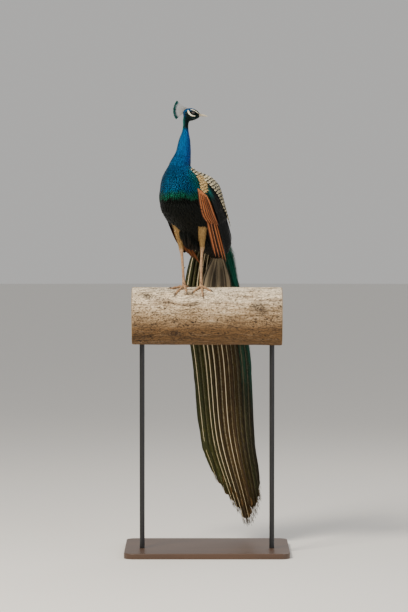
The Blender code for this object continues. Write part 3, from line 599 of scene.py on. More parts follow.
def finished(name, mesh, *finishes):
    for finish in finishes:
        mesh.materials.append(finish.material)
    mesh.shade_smooth()
    made = bpy.data.objects.new(name, mesh)
    scene.collection.objects.link(made)
    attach(made, "root")
    return made


def relax(bm, verts, rounds):
    """Draws vertices to the middle of their neighbours, a few times over."""
    axes = {"use_axis_" + axis: True for axis in "xyz"}
    for _ in range(rounds):
        bmesh.ops.smooth_vert(bm, verts=verts, factor=0.5, **axes)


def remeshed(bm, voxel, smoothing):
    """A bmesh of the one closed skin round everything in bm."""
    bmesh.ops.recalc_face_normals(bm, faces=bm.faces)
    mesh = bpy.data.meshes.new("lofts")
    bm.to_mesh(mesh)
    bm.free()
    lofts = bpy.data.objects.new("lofts", mesh)
    scene.collection.objects.link(lofts)
    one_skin = lofts.modifiers.new("one skin", "REMESH")
    one_skin.mode = "VOXEL"
    one_skin.voxel_size = voxel
    bpy.context.view_layer.update()
    made = bmesh.new()
    made.from_object(lofts, bpy.context.evaluated_depsgraph_get())
    bpy.data.objects.remove(lofts)
    bpy.data.meshes.remove(mesh)
    relax(made, made.verts, smoothing)
    bmesh.ops.recalc_face_normals(made, faces=made.faces)
    return made


# %% The skin
RING = np.linspace(0.0, 360.0, 32, endpoint=False)
SKIN_VOXEL = 0.0026
ARM_THICKNESS = 0.032
# Heights between which the throat is smoothed, where the head's loft meets the neck's
THROAT = (1.712, 1.748)


def ringed(form, *stations, depth):
    """Rings of points of a form, from the first place along it to the last."""
    rings = []
    for t in np.linspace(*stations):
        rings.append(form(np.full(32, t), RING, depth(t) if callable(depth) else depth))
    return rings


def arm_rings(side):
    """The folded arm and the front of the wing's sheet, narrow at the wrist."""
    angle = np.radians(RING)
    rings = []
    for a in np.linspace(-0.03, 0.50, 16):
        roundness = math.sqrt(max(0.0, 1 - (abs(a - 0.235) / 0.30) ** 4))
        width = 0.45 * roundness * np.cos(angle)
        b = 0.5 + np.where(width > 0, width * min(1.0, 0.18 + 2.0 * max(0.0, a)), width)
        rings.append(wing(np.full(32, a), b, ARM_THICKNESS * np.minimum(0.0, np.sin(angle)) - 0.002, side)[0])
    return rings


lofts = bmesh.new()
bridged(lofts, ringed(body, 0.0, 15.0, 61, depth=coat_depth))
bridged(lofts, ringed(head, 0.05, 8.0, 33, depth=0.0007))
for side in ("left", "right"):
    bridged(lofts, ringed(partial(leg, side), 0.0, HOCK_ROW + 0.3, 18, depth=0.0022))
for side in (1, -1):
    bridged(lofts, arm_rings(side))
skin_mesh = remeshed(lofts, SKIN_VOXEL, 3)
throat = [v for v in skin_mesh.verts if THROAT[0] < v.co.z < THROAT[1] and to_head(v.co)[0] < 0.010]
relax(skin_mesh, throat, 12)
skin_tree = BVHTree.FromBMesh(skin_mesh)
print("skin faces:", len(skin_mesh.faces))


def on_skin(points):
    """The nearest places of the skin, the way out there, and how far inside the skin each point was."""
    found = [skin_tree.find_nearest(Vector(point))[:2] for point in points]
    places, ways = (np.array([pair[k] for pair in found], float) for k in (0, 1))
    depths = np.array([-(Vector(point) - place).dot(way) for point, (place, way) in zip(points, found)])
    return places, ways, depths


# %% [markdown]
# ## Feathers as solid mesh
# A feather is a thin closed body swept along a path: each ring goes over its outer face and back under
# it, and both ends close in a point. Thousands of them are worked out together as arrays and joined
# into one mesh. Each keeps a map across and along its vane for markings, a map that tells its outer
# face from its under face, and a small patch of its own for the baked colours.


# %% Gathering feathers
def template(rings, sides):
    """Corners of one swept body: vertex, place along and round it, and the face's own place round."""
    faces = []
    last = 1 + (rings - 1) * sides
    tip = 1 + rings * sides
    for j in range(sides):
        following = (j + 1) % sides
        faces.append(((0, 0, j, j), (1 + following, 1, following, j), (1 + j, 1, j, j)))
        for k in range(rings - 1):
            low, high = 1 + k * sides, 1 + (k + 1) * sides
            faces.append((
                (low + j, k + 1, j, j),
                (low + following, k + 1, following, j),
                (high + following, k + 2, following, j),
                (high + j, k + 2, j, j),
            ))
        faces.append((
            (last + j, rings, j, j),
            (last + following, rings, following, j),
            (tip, rings + 1, j, j),
        ))
    corners = np.array([corner for face in faces for corner in face])
    return corners, np.array([len(face) for face in faces])


def fractions(path):
    """The share of the length at each station, of the first feather."""
    lengths = np.linalg.norm(np.diff(path[0], axis=0), axis=1)
    return np.concatenate(((0.0,), np.cumsum(lengths))) / lengths.sum()


class Plumage:
    """Many swept bodies in one mesh."""

    def __init__(self, name):
        self.name = name
        self.points, self.colours, self.corners, self.sizes = [], [], [], []
        self.vane, self.kind, self.bake = [], [], []
        self.count = 0

    def add(self, path, rings, across, outer, colours, patch, patch_size):
        """path (N,S,3) gives the end points and rings (N,S-2,M,3) what lies between them."""
        along = fractions(path)
        n, inner, sides, _ = rings.shape
        points = np.concatenate((path[:, :1], rings.reshape(n, -1, 3), path[:, -1:]), axis=1)
        corners, sizes = template(inner, sides)
        colours = np.asarray(colours, float)
        if colours.ndim == 2:
            colours = np.repeat(colours[:, None], len(along), axis=1)
        between_ends = np.repeat(colours[:, 1:-1], sides, axis=1)
        self.points.append(points.reshape(-1, 3))
        spread = np.concatenate((colours[:, :1], between_ends, colours[:, -1:]), axis=1)
        self.colours.append(spread.reshape(-1, 3))
        starts = self.count + points.shape[1] * np.arange(n)
        self.corners.append((starts[:, None] + corners[:, 0]).ravel())
        self.sizes.append(np.tile(sizes, n))
        self.count += n * points.shape[1]
        at_an_end = (corners[:, 1] == 0) | (corners[:, 1] == inner + 1)
        place_across = np.where(at_an_end, 0.0, across[corners[:, 2]])
        place_along = along[corners[:, 1]]
        face_out = outer[corners[:, 3]]
        self.vane.append(np.tile(np.stack((place_across, place_along), axis=-1), (n, 1)))
        own = draw.random(n)
        self.kind.append(np.stack(np.broadcast_arrays(face_out[None], own[:, None]), axis=-1).reshape(-1, 2))
        local = np.stack((0.23 * place_across + 0.5 * face_out - 0.25, 0.9 * (place_along - 0.5)), axis=-1)
        self.bake.append((np.asarray(patch)[:, None] + local * np.asarray(patch_size)).reshape(-1, 2))

    def build(self, finish, slot):
        points, corners, sizes = (np.concatenate(part) for part in (self.points, self.corners, self.sizes))
        mesh = bpy.data.meshes.new(self.name)
        mesh.vertices.add(len(points))
        mesh.vertices.foreach_set("co", points.ravel())
        mesh.loops.add(len(corners))
        mesh.loops.foreach_set("vertex_index", corners.astype(np.int32))
        mesh.polygons.add(len(sizes))
        starts = np.concatenate(((0,), np.cumsum(sizes)[:-1]))
        mesh.polygons.foreach_set("loop_start", starts.astype(np.int32))
        mesh.update(calc_edges=True)
        for name, values in (("OFBake", self.bake), ("vane", self.vane), ("kind", self.kind)):
            layer = mesh.uv_layers.new(name=name)
            layer.uv.foreach_set("vector", np.concatenate(values).astype(np.float32).ravel())
        colours = np.column_stack((np.concatenate(self.colours), np.ones(len(points))))
        paint = mesh.color_attributes.new("plumage", "FLOAT_COLOR", "POINT")
        paint.data.foreach_set("color", colours.astype(np.float32).ravel())
        made = finished(self.name, mesh, finish)
        print(self.name, "triangles:", int((sizes - 2).sum()))
        return made


# %% Sweeping vanes and shafts
def ways_along(path):
    """The unit way along paths (N,S,3) at each station."""
    steps = (path[:, 1:2] - path[:, :1], path[:, 2:] - path[:, :-2], path[:, -1:] - path[:, -2:-1])
    return unit(np.concatenate(steps, axis=1))


def frames(path, normals, tilt=0.0):
    """The ways across feathers and out of them at each station, turned about their length by tilt degrees."""
    along = ways_along(path)
    across = unit(np.cross(along, normals))
    out = np.cross(across, along)
    turn = np.radians(np.broadcast_to(tilt, (len(path),)))[:, None, None]
    return across * np.cos(turn) - out * np.sin(turn), out * np.cos(turn) + across * np.sin(turn)


def vanes(piece, path, normals, halves, thickness, colours, patch, patch_size, columns=3, tilt=0.0, cup=0.0):
    """Flat feathers along paths (N,S,3), with half widths (N,S)."""
    across, out = frames(path, normals, tilt)
    top = np.linspace(-1.0, 1.0, columns)
    places = np.concatenate((top, top[::-1][1:-1]))
    rise = np.concatenate((np.sqrt(1 - top**2), -np.sqrt(1 - top[1:-1] ** 2))) * thickness / 2
    half = np.asarray(halves)[:, 1:-1, None, None]
    rings = (
        path[:, 1:-1, None]
        + across[:, 1:-1, None] * half * places[:, None]
        + out[:, 1:-1, None] * (rise[:, None] - cup * half * places[:, None] ** 2)
    )
    outer = np.concatenate((np.ones(columns - 1), np.zeros(columns - 1)))
    piece.add(path, rings, places, outer, colours, patch, patch_size)


def shafts(piece, path, normals, radii, colours, patch, patch_size, sides=4, flat=1.0):
    """Thin round or flattened bodies along paths, such as quills and barbs."""
    across, out = frames(path, normals)
    angle = np.linspace(math.pi, -math.pi, sides, endpoint=False)
    radius = np.asarray(radii)[:, 1:-1, None, None]
    rings = (
        path[:, 1:-1, None]
        + across[:, 1:-1, None] * radius * np.cos(angle)[:, None]
        + out[:, 1:-1, None] * radius * flat * np.sin(angle)[:, None]
    )
    middle = angle + np.diff(angle)[0] / 2
    outer = (np.sin(middle) > 0.1).astype(float)
    piece.add(path, rings, np.cos(angle), outer, colours, patch, patch_size)


# %% Rows of contour feathers
TUFT_PATCH = 0.003
CONTOUR = np.array((0.0, 0.18, 0.45, 0.72, 0.91, 1.0))
CONTOUR_HALF = np.array((0.0, 0.72, 1.0, 0.96, 0.62, 0.0))
# How far apart the rows stand, as a share of the spacing round the form
ROW_SHARE = 0.80


def rows_over(form, first, last, spacing):
    """Staggered roots over a form: places along it, degrees round it, and the spacing at each."""
    turns = np.linspace(-180.0, 180.0, 73)
    found = []
    t = first
    row = 0
    while t < last:
        gap = float(spacing(t))
        ring = form(np.full(73, t), turns)
        around = np.linalg.norm(np.diff(ring, axis=0), axis=1).sum()
        step = np.linalg.norm(form(np.full(73, t + 0.01), turns) - ring, axis=1).mean() / 0.01
        count = max(6, int(around / gap))
        turn = ((np.arange(count) + 0.5 * (row % 2)) / count) * 360.0 - 180.0
        found.append(np.column_stack((np.full(count, t), turn, np.full(count, gap))))
        t += gap * ROW_SHARE / step
        row += 1
    found = np.concatenate(found)
    found[:, 1] += draw.normal(0.0, 1.0, len(found)) * found[:, 2] * 120.0
    return found.T


def lying(form, t, turn, back=1.0):
    """The way along the form there, towards the tail."""
    near = 0.02
    return unit(form(t + near, turn) - form(t - near, turn)) * back


def ruffled(ways, outs, spread):
    """Ways laid flat on the skin, each then turned a little by chance."""
    return unit(ways - outs * dot(ways, outs) + draw.normal(0.0, spread, ways.shape))


def patch_on(turn, t, rows):
    """The place on the picture of baked colours, for feathers at t of so many rows along a form."""
    return np.column_stack((0.02 + 0.96 * (turn % 360.0) / 360.0, 0.02 + 0.96 * t / rows))


def contour(
    piece, roots, ways, lengths, halves, lifts, colours, patch, columns=3, thickness=0.0005, sink=0.0008
):
    """Small feathers that follow the skin from their roots, their tips lifted over the next row."""
    reach = roots[:, None] + ways[:, None] * (lengths[:, None] * CONTOUR)[..., None]
    places, outs, _ = on_skin(reach.reshape(-1, 3))
    outs = outs.reshape(reach.shape)
    height = -sink + (np.asarray(lifts)[:, None] + sink) * CONTOUR**0.8
    path = places.reshape(reach.shape) + outs * height[..., None]
    halves = np.asarray(halves)[:, None] * CONTOUR_HALF
    vanes(piece, path, outs, halves, thickness, colours, patch, TUFT_PATCH, columns)


def smooth(low, high, value):
    x = np.clip((np.asarray(value, float) - low) / (high - low), 0.0, 1.0)
    return x * x * (3 - 2 * x)


def blended(first, second, share):
    share = np.asarray(share, float)[..., None]
    return np.asarray(first) * (1 - share) + np.asarray(second) * share


def painted(colour, *coats):
    """A colour under others, each given with how much it covers."""
    for over, cover in coats:
        colour = blended(colour, over, cover)
    return colour


# %% [markdown]
# ## Plumage colours
# The neck is a vivid metallic blue that turns teal at its edges, darker under the head and green where
# it meets the black belly; the teal down the front of its right side is a painted sheen. The back is
# scaled in bronze and green. Each feather takes the colour of its root, and the skin below takes the
# colour of the nearest feather, so both carry the same markings.

# %% Colours of the body
BLUE = linear(0, 95, 152)
DEEP_BLUE = linear(0, 62, 130)
SHEEN_TEAL_BLUE = linear(0, 80, 104)
BREAST_BLUE = linear(0, 60, 90)
TEAL = linear(0, 112, 104)
NECK_SHEEN_TEAL = linear(0, 118, 112)
NECK_BLACK = linear(6, 22, 24)
RIM_GREEN = linear(2, 74, 44)
BLACK_GREEN = linear(8, 11, 7)
BACK_GREEN = linear(58, 98, 36)
BACK_BRONZE = linear(118, 104, 40)
BUFF = linear(172, 138, 88)
VENT_BROWN = linear(40, 30, 22)
RIM_HEIGHT = 1.434
DARK_NECK_HEIGHT = 1.704


def bell(value, middle, spread):
    """1 at the middle, falling away on both sides."""
    return np.exp(-(((value - middle) / spread) ** 2))


def body_colour(t, turn, points):
    """The base colour of the plumage at places of the body."""
    from_back = np.abs(turn)
    height = points[:, 2]
    wave = np.sin(points @ np.array((41.0, 67.0, 23.0))) * 0.5 + 0.5
    off_sheen_side = np.abs((turn + 320.0) % 360.0 - 180.0)
    edge = RIM_HEIGHT + 0.004 * np.sin(np.radians(turn) * 3.0) + 0.003 * np.sin(np.radians(turn) * 11.0)
    return painted(
        BLUE,
        (DEEP_BLUE, np.clip(0.85 * bell(from_back, 92, 32) + 0.15 * wave, 0, 1)),
        # Painted sheen: teal down the front of the right side, where the key light grazes the neck.
        (SHEEN_TEAL_BLUE, bell(turn, -128, 30)),
        (BREAST_BLUE, smooth(1.60, 1.51, height) * 0.9),
        (TEAL, smooth(70, 20, from_back) * 0.55),
        (TEAL, smooth(7.0, 9.0, t) * smooth(122, 76, from_back) * 0.9),
        # Painted sheen: teal on that same side of the upper neck, black elsewhere.
        (
            blended(NECK_BLACK, NECK_SHEEN_TEAL, bell(off_sheen_side, 0, 36)),
            smooth(DARK_NECK_HEIGHT - 0.010, DARK_NECK_HEIGHT + 0.010, height),
        ),
        (RIM_GREEN, smooth(edge + 0.042, edge + 0.010, height) * 0.9),
        (BLACK_GREEN, smooth(edge + 0.010, edge - 0.006, height)),
        (
            blended(BACK_GREEN, BACK_BRONZE, wave * smooth(9.5, 12.0, t)),
            smooth(84, 66, from_back) * smooth(8.9, 9.7, t),
        ),
        (VENT_BROWN, smooth(12.3, 13.4, t) * smooth(90, 120, from_back) * 0.5),
    )


# %% Finishes of feathers
def barb_lines(finish, rate=46.0, slant=7.0):
    """Fine slanting lines across a vane, from 0 to 1, and the place across and along it."""
    across, along = finish.vane()
    lines = ((along * slant - abs(across) * 1.2) * rate / 7.0).wave()
    return lines, across, along


def feather_finish(name, roughness, metallic=0.0, coat=0.0, specular=0.3, contrast=0.22, rate=46.0):
    """A finish for feathers that takes its colour from the feather, with barbs and a spread of tones."""
    finish = Finish(
        name, Roughness=roughness, Metallic=metallic, Coat_Weight=coat, Coat_Roughness=0.25,
        Specular_IOR_Level=specular,
    )
    lines, _, along = barb_lines(finish, rate)
    own = finish.kind()[1]
    broad = finish.noise(finish.place(), 55.0, 2.0)
    tone = 1.0 - contrast + contrast * (own + broad) + (lines - 0.5) * contrast * 0.5
    tone = tone * (0.62 + 0.38 * along.between(0.0, 0.45))
    finish.colour(finish.toned(finish.plumage(), tone))
    finish.bump(lines, 0.0004, 0.5)
    return finish


neck_finish = feather_finish("neck_plumage", 0.40, 0.78, 0.04, 0.25)
dark_finish = feather_finish("dark_plumage", 0.50, 0.20, 0.0, 0.14)
soft_finish = feather_finish("downy_plumage", 0.90, specular=0.15)

scale_finish = Finish("scaled_plumage", Roughness=0.40, Metallic=0.6, Specular_IOR_Level=0.2)
lines, across, along = barb_lines(scale_finish)
rim = (across * across * 0.75 + along * along).between(0.80, 0.98)
heart = (across * across * 3.0 + (along - 0.55) * (along - 0.55) * 6.0).between(0.55, 0.2)
inner = scale_finish.layered(scale_finish.plumage(), (heart * 0.65, (150, 124, 46)))
tone = 0.75 + scale_finish.kind()[1] * 0.35 + (lines - 0.5) * 0.15
scale_finish.colour(scale_finish.layered(scale_finish.toned(inner, tone), (rim, (10, 16, 12))))
scale_finish.bump(lines, 0.0004, 0.5)

# The skin takes the nearest feather's colour, mixed about half towards black: painted shade between the
# feathers.
skin_finish = Finish("skin_under_plumage", Roughness=0.85, Specular_IOR_Level=0.1)
down = skin_finish.noise(skin_finish.place(), 900.0, 2.0)
skin_finish.colour(skin_finish.mix(0.35 + down * 0.2, skin_finish.plumage(), (0.004, 0.004, 0.004)))
skin_finish.bump(down, 0.0006, 0.6)

# %% [markdown]
# ## Body feathers
# They lie like roof tiles, from the head towards the tail, small on the neck and broad on the breast
# and back. The belly and vent feathers are longer and looser.

# %% Neck, breast, belly and back
paint_places = []
paint_colours = []


def remember(places, colours):
    paint_places.append(places)
    paint_colours.append(np.asarray(colours))


def kept(mask, *arrays):
    return [array[mask] for array in arrays]


# Height over the trunk's top below which each thigh's buff feathers show
THIGH_TOP = {"right": 0.262, "left": 0.246}


def over_a_thigh(points):
    """Which points lie on or just off a thigh, below the height where its buff feathers start."""
    found = np.zeros(len(points), bool)
    t = np.linspace(0.0, HOCK_ROW, 25)
    for side, top in THIGH_TOP.items():
        front, behind = (leg(side, t, np.full(25, degrees)) for degrees in (0.0, 180.0))
        half = np.linalg.norm(front - behind, axis=1) / 2
        away = np.linalg.norm(points[:, None] - (front + behind) / 2, axis=2) - half
        found |= (away.min(axis=1) < 0.005) & (points[:, 2] < PERCH_TOP + top)
    return found


def body_spacing(t):
    return np.interp(t, (0, 4, 8, 9.5, 15), (0.0024, 0.0028, 0.0048, 0.0068, 0.0075))


t, turn, gap = rows_over(body, 0.45, 14.9, body_spacing)
roots = body(t, turn, coat_depth(t))
ways = lying(body, t, turn)
places, outs, inside = on_skin(roots)
t, turn, gap, roots, ways, outs, places = kept(inside < 0.030, t, turn, gap, roots, ways, outs, places)
ways = ruffled(ways, outs, 0.05)
colours = body_colour(t, turn, places)
remember(places, colours)
patch = patch_on(turn, t, 15.0)
stretch = draw.uniform(0.88, 1.15, len(t))
lift = coat_depth(t) * 0.92
length = gap * 2.7 * stretch
half = gap * 0.62 * stretch
clear = np.ones(len(t), bool)
for share in (0.2, 0.7, 1.2):
    clear &= ~over_a_thigh(places + ways * (length * share)[:, None])
t, turn, roots, ways, places, colours, patch, lift, length, half = kept(
    clear, t, turn, roots, ways, places, colours, patch, lift, length, half
)
scaled = (np.abs(turn) < 78) & (t >= 8.9)
blue = (places[:, 2] > RIM_HEIGHT - 0.016) & ((t < 9.6) | (np.abs(turn) > 80)) & ~scaled
loose = ~blue & ~scaled


def body_feathers(name, chosen, longer, wider, raised, finish, slot, columns=3):
    """One kind of body feathers, from the chosen roots."""
    piece = Plumage(name)
    own = kept(chosen, roots, ways, length * longer, half * wider, lift, colours, patch)
    own[4] = own[4] * raised
    contour(piece, *own, columns)
    piece.build(finish, slot)


body_feathers("neck_and_breast_feathers", blue, 1.0, 1.0, 1.0, neck_finish, "blue_neck")
looseness = draw.uniform(0.8, 1.5, loose.sum())
body_feathers("belly_feathers", loose, 1.35, 1.05, looseness, dark_finish, "black_green_body")
body_feathers("back_scales", scaled, 1.15, 1.35, 1.0, scale_finish, "black_green_body", 5)

# %% Loose feathers between the thighs
# Place along the body and how far the feathers hang from it
VENT_REACH = ((11.20, 0.060), (11.50, 0.058), (12.00, 0.041), (12.40, 0.030))
VENT_COUNT = 90
t = draw.uniform(VENT_REACH[0][0], VENT_REACH[-1][0], VENT_COUNT)
turn = draw.uniform(-14.0, 14.0, VENT_COUNT) * np.interp(t, (11.2, 12.0, 12.4), (1.0, 1.0, 0.6))
reach = np.interp(t, *np.transpose(VENT_REACH)) * draw.uniform(0.72, 1.0, VENT_COUNT)
roots = body(t, 180.0 + turn, 0.004)
along = body_frame(t)[1]
sway = draw.normal(0.0, 0.06, (VENT_COUNT, 1))
ways = unit(along * 0.30 - UP * 0.70 + LEFT * sway)
s = np.linspace(0.0, 1.0, 9)
path = roots[:, None] + ways[:, None] * (reach[:, None] * s)[..., None]
path = path + (LEFT * sway * -0.25)[:, None] * (reach[:, None] * s**2)[..., None]
halves = 0.0052 * np.interp(s, (0, 0.2, 0.6, 0.85, 1), (0.5, 1.0, 0.85, 0.5, 0.0))
halves = halves * draw.uniform(0.8, 1.15, (VENT_COUNT, 1))
tips = smooth(0.45, 1.0, s)[None] * draw.uniform(0.1, 1.0, (VENT_COUNT, 1))
colours = blended(BLACK_GREEN, VENT_BROWN, tips)
patch = patch_on(180.0 + turn, t, 15.0)
vent = Plumage("vent_feathers")
vanes(vent, path, np.broadcast_to(FORWARD, path.shape), halves, 0.0008, colours, patch, TUFT_PATCH, 5)
vent.build(dark_finish, "black_green_body")

# %% Thighs
for side in ("left", "right"):
    thigh = partial(leg, side)
    spacing = partial(np.interp, xp=(0, 2, 4), fp=(0.0060, 0.0042, 0.0030))
    t, turn, gap = rows_over(thigh, 0.3, HOCK_ROW + 0.25, spacing)
    roots = thigh(t, turn, 0.0022)
    places, outs, inside = on_skin(roots)
    t, turn, gap, roots, places, outs = kept(inside < 0.0060, t, turn, gap, roots, places, outs)
    ways = ruffled(lying(thigh, t, turn), outs, 0.09)
    top = PERCH_TOP + THIGH_TOP[side] + 0.006
    dark = smooth(top - 0.005, top + 0.005, places[:, 2] + draw.normal(0, 0.002, len(t)))
    colours = blended(np.asarray(BUFF) * draw.uniform(0.75, 1.1, (len(t), 1)), BLACK_GREEN, dark)
    remember(places, colours)
    down = Plumage("thigh_feathers_" + side)
    lifts = np.full(len(t), 0.0026) * draw.uniform(0.6, 1.3, len(t))
    contour(down, roots, ways, gap * 3.2, gap * 0.50, lifts, colours, patch_on(turn, t, 4.5))
    down.build(soft_finish, "thigh_buff")

# %% [markdown]
# ## Head
# The head is what people look at first. A white stripe of bare skin runs over the eye and a broader
# white crescent curls behind and below it; between them a black line passes through the eye. The crown
# is metallic blue, the cheeks and throat black-green. The feathers here are the smallest of all.

# %% Face markings
# Forward and up in the head, half width, along each strip of bare white skin
STRIPE = (
    (-0.0050, 0.0160, 0.0007),
    (0.0040, 0.0160, 0.0014),
    (0.0130, 0.0130, 0.0012),
    (0.0215, 0.0080, 0.0010),
    (0.0300, 0.0020, 0.0007),
)
CRESCENT = (
    (-0.0128, 0.0142, 0.0016),
    (-0.0112, 0.0092, 0.0032),
    (-0.0078, 0.0030, 0.0034),
    (-0.0022, -0.0030, 0.0031),
    (0.0050, -0.0068, 0.0027),
    (0.0120, -0.0080, 0.0021),
    (0.0180, -0.0072, 0.0010),
)
CROWN_BLUE = linear(0, 70, 118)
CHEEK = linear(4, 26, 24)


def strip_distance(points, strip):
    """How far points of the head lie outside a strip of the face, seen from the side."""
    local = to_head(points)[:, [0, 2]]
    fine = between(strip, np.linspace(0, len(strip) - 1.0, 40))
    gaps = np.linalg.norm(local[:, None] - fine[None, :, :2], axis=-1) - fine[None, :, 2]
    return gaps.min(axis=1)


def head_colour(points):
    local = to_head(points)
    crown = smooth(0.006, 0.016, local[:, 2] - 0.25 * local[:, 0])
    nape = smooth(-0.012, -0.026, local[:, 0])
    off_the_line = np.abs(local[:, 2] - 0.0045 + 0.12 * local[:, 0])
    line = smooth(0.0045, 0.0, off_the_line) * smooth(-0.016, -0.008, local[:, 0])
    return painted(CHEEK, (CROWN_BLUE, np.maximum(crown, nape * 0.7)), (BLACK_GREEN, line))


# %% Head feathers
def off_the_bare_skin(points):
    """How far points of the head lie outside the white strips and the lids."""
    from_eye = np.linalg.norm((to_head(points) - EYE) * (1, 0, 1.15), axis=1)
    strips = np.minimum(strip_distance(points, STRIPE), strip_distance(points, CRESCENT))
    return np.minimum(strips, from_eye - EYE_RADIUS - 0.0004)


HEAD_FEATHER = 0.0052
spacing = partial(np.interp, xp=(0, 5, 8), fp=(0.00150, 0.00140, 0.00110))
t, turn, gap = rows_over(head, 0.25, 7.9, spacing)
roots = head(t, turn, 0.0007)
places, outs, inside = on_skin(roots)
ways = lying(head, t, turn, -1.0)
beside = off_the_bare_skin(places)
leaving = (beside > -0.0008) & (off_the_bare_skin(places + ways * 0.0012) > 0.0002)
free = (inside < 0.0016) & ((beside > 0.0001) | leaving) & (to_head(places)[:, 0] < 0.0312)
t, turn, roots, places, outs, ways, leaving = kept(free, t, turn, roots, places, outs, ways, leaving)
local = to_head(places)
down = smooth(-0.004, -0.020, local[:, 2]) * smooth(0.012, -0.008, local[:, 0])
ways = ruffled(unit(ways * (1 - down)[:, None] - UP * down[:, None] * 1.2), outs, 0.08)
colours = head_colour(places)
remember(places, colours)
cap = Plumage("head_feathers")
size = draw.uniform(0.85, 1.15, len(t)) * (1 - 0.35 * smooth(0.012, 0.024, local[:, 0]))
length = HEAD_FEATHER * size
for share in (0.25, 0.5, 0.75, 1.0):
    ahead = off_the_bare_skin(places + ways * (HEAD_FEATHER * share * size)[:, None])
    stopped = (ahead < 0.0) & ~(leaving & (share < 0.3))
    shortened = np.minimum(length, HEAD_FEATHER * size * max(0.2, share - 0.15))
    length = np.where(stopped, shortened, length)
lifts = np.full(len(t), 0.0009)
patch = patch_on(turn, t, 8.0)
contour(cap, roots, ways, length, 0.00085 * size, lifts, colours, patch, thickness=0.00025, sink=0.0003)
head_finish = feather_finish("head_plumage", 0.34, 0.60, 0.06, 0.25)
cap.build(head_finish, "head_plumage")

# %% Bare white skin of the face
bare_finish = Finish("bare_face_skin", Roughness=0.55, Subsurface_Weight=0.08)
bare_finish.shader.inputs["Subsurface Radius"].default_value = (0.002, 0.001, 0.0008)
pores = bare_finish.add("ShaderNodeTexVoronoi", None, Vector=bare_finish.place(), Scale=1500.0)[0]
bare_finish.colour(bare_finish.mix(pores * 0.7, linear(236, 229, 204), linear(172, 166, 142)))
bare_finish.bump(pores, 0.0004, 0.8)


def onto_face(local, side, rise):
    """The place on the skin beside a point of the head given forward and up, raised by rise."""
    start = Vector(in_head((local[0], side * 0.05, local[1])))
    way = Vector(-side * HEAD_AXES[:, 1])
    place, out, _, _ = skin_tree.ray_cast(start, way)
    return place + out * rise


def face_strip(name, strip, side):
    """A slightly raised, closed strip of skin that follows the cheek."""
    bm = bmesh.new()
    bmesh.ops.create_grid(bm, x_segments=34, y_segments=8, size=1.0)
    for vert in bm.verts:
        share = (vert.co.x + 1) / 2
        row = share * (len(strip) - 1)
        forward, up, half = between(strip, row)
        ahead = between(strip, min(row + 0.05, len(strip) - 1.0)) - between(strip, max(row - 0.05, 0.0))
        square = unit(np.array((-ahead[1], ahead[0])))
        across = vert.co.y
        crease = 0.00012 * math.sin(share * 60.0 + across * 2.0)
        rise = 0.0010 * math.sqrt(max(0.0, 1 - across**2)) * min(1.0, 8 * share, 8 * (1 - share)) + crease
        vert.co = onto_face((forward + square[0] * half * across, up + square[1] * half * across), side, rise)
    inner = bmesh.ops.extrude_face_region(bm, geom=list(bm.faces))["geom"]
    for vert in (g for g in inner if isinstance(g, bmesh.types.BMVert)):
        vert.co -= Vector(side * HEAD_AXES[:, 1]) * 0.0014
    bmesh.ops.recalc_face_normals(bm, faces=bm.faces)
    made = to_object(name, bm, bare_finish)


for side_name, side in (("left", 1), ("right", -1)):
    face_strip("brow_stripe_" + side_name, STRIPE, side)
    face_strip("cheek_crescent_" + side_name, CRESCENT, side)

# %% [markdown]
# ## Eyes and lids
# A peafowl's eye is dark brown round a black pupil, wet and very glossy. A ring of thin lid skin sits
# in front of the ball, so that the eye looks set into the head.

# %% Eyes
eye_finish = Finish("eye", Roughness=0.12, Coat_Weight=0.35, Coat_Roughness=0.02, Specular_IOR_Level=0.3)
aside = eye_finish.add("ShaderNodeAttribute", {"attribute_name": "from_axis"})[2]
iris = eye_finish.mix(aside.between(0.45, 0.85), linear(66, 34, 15), linear(22, 12, 7))
eye_finish.colour(eye_finish.mix(aside.between(0.48, 0.53), (0.0010, 0.0010, 0.0010), iris))
lid_finish = Finish("eyelid", Roughness=0.5)
folds = lid_finish.noise(lid_finish.place(), 1400.0, 2.0)
lid_finish.colour(lid_finish.mix(folds, linear(16, 18, 18), linear(46, 48, 45)))
lid_finish.bump(folds, 0.0003, 0.5)

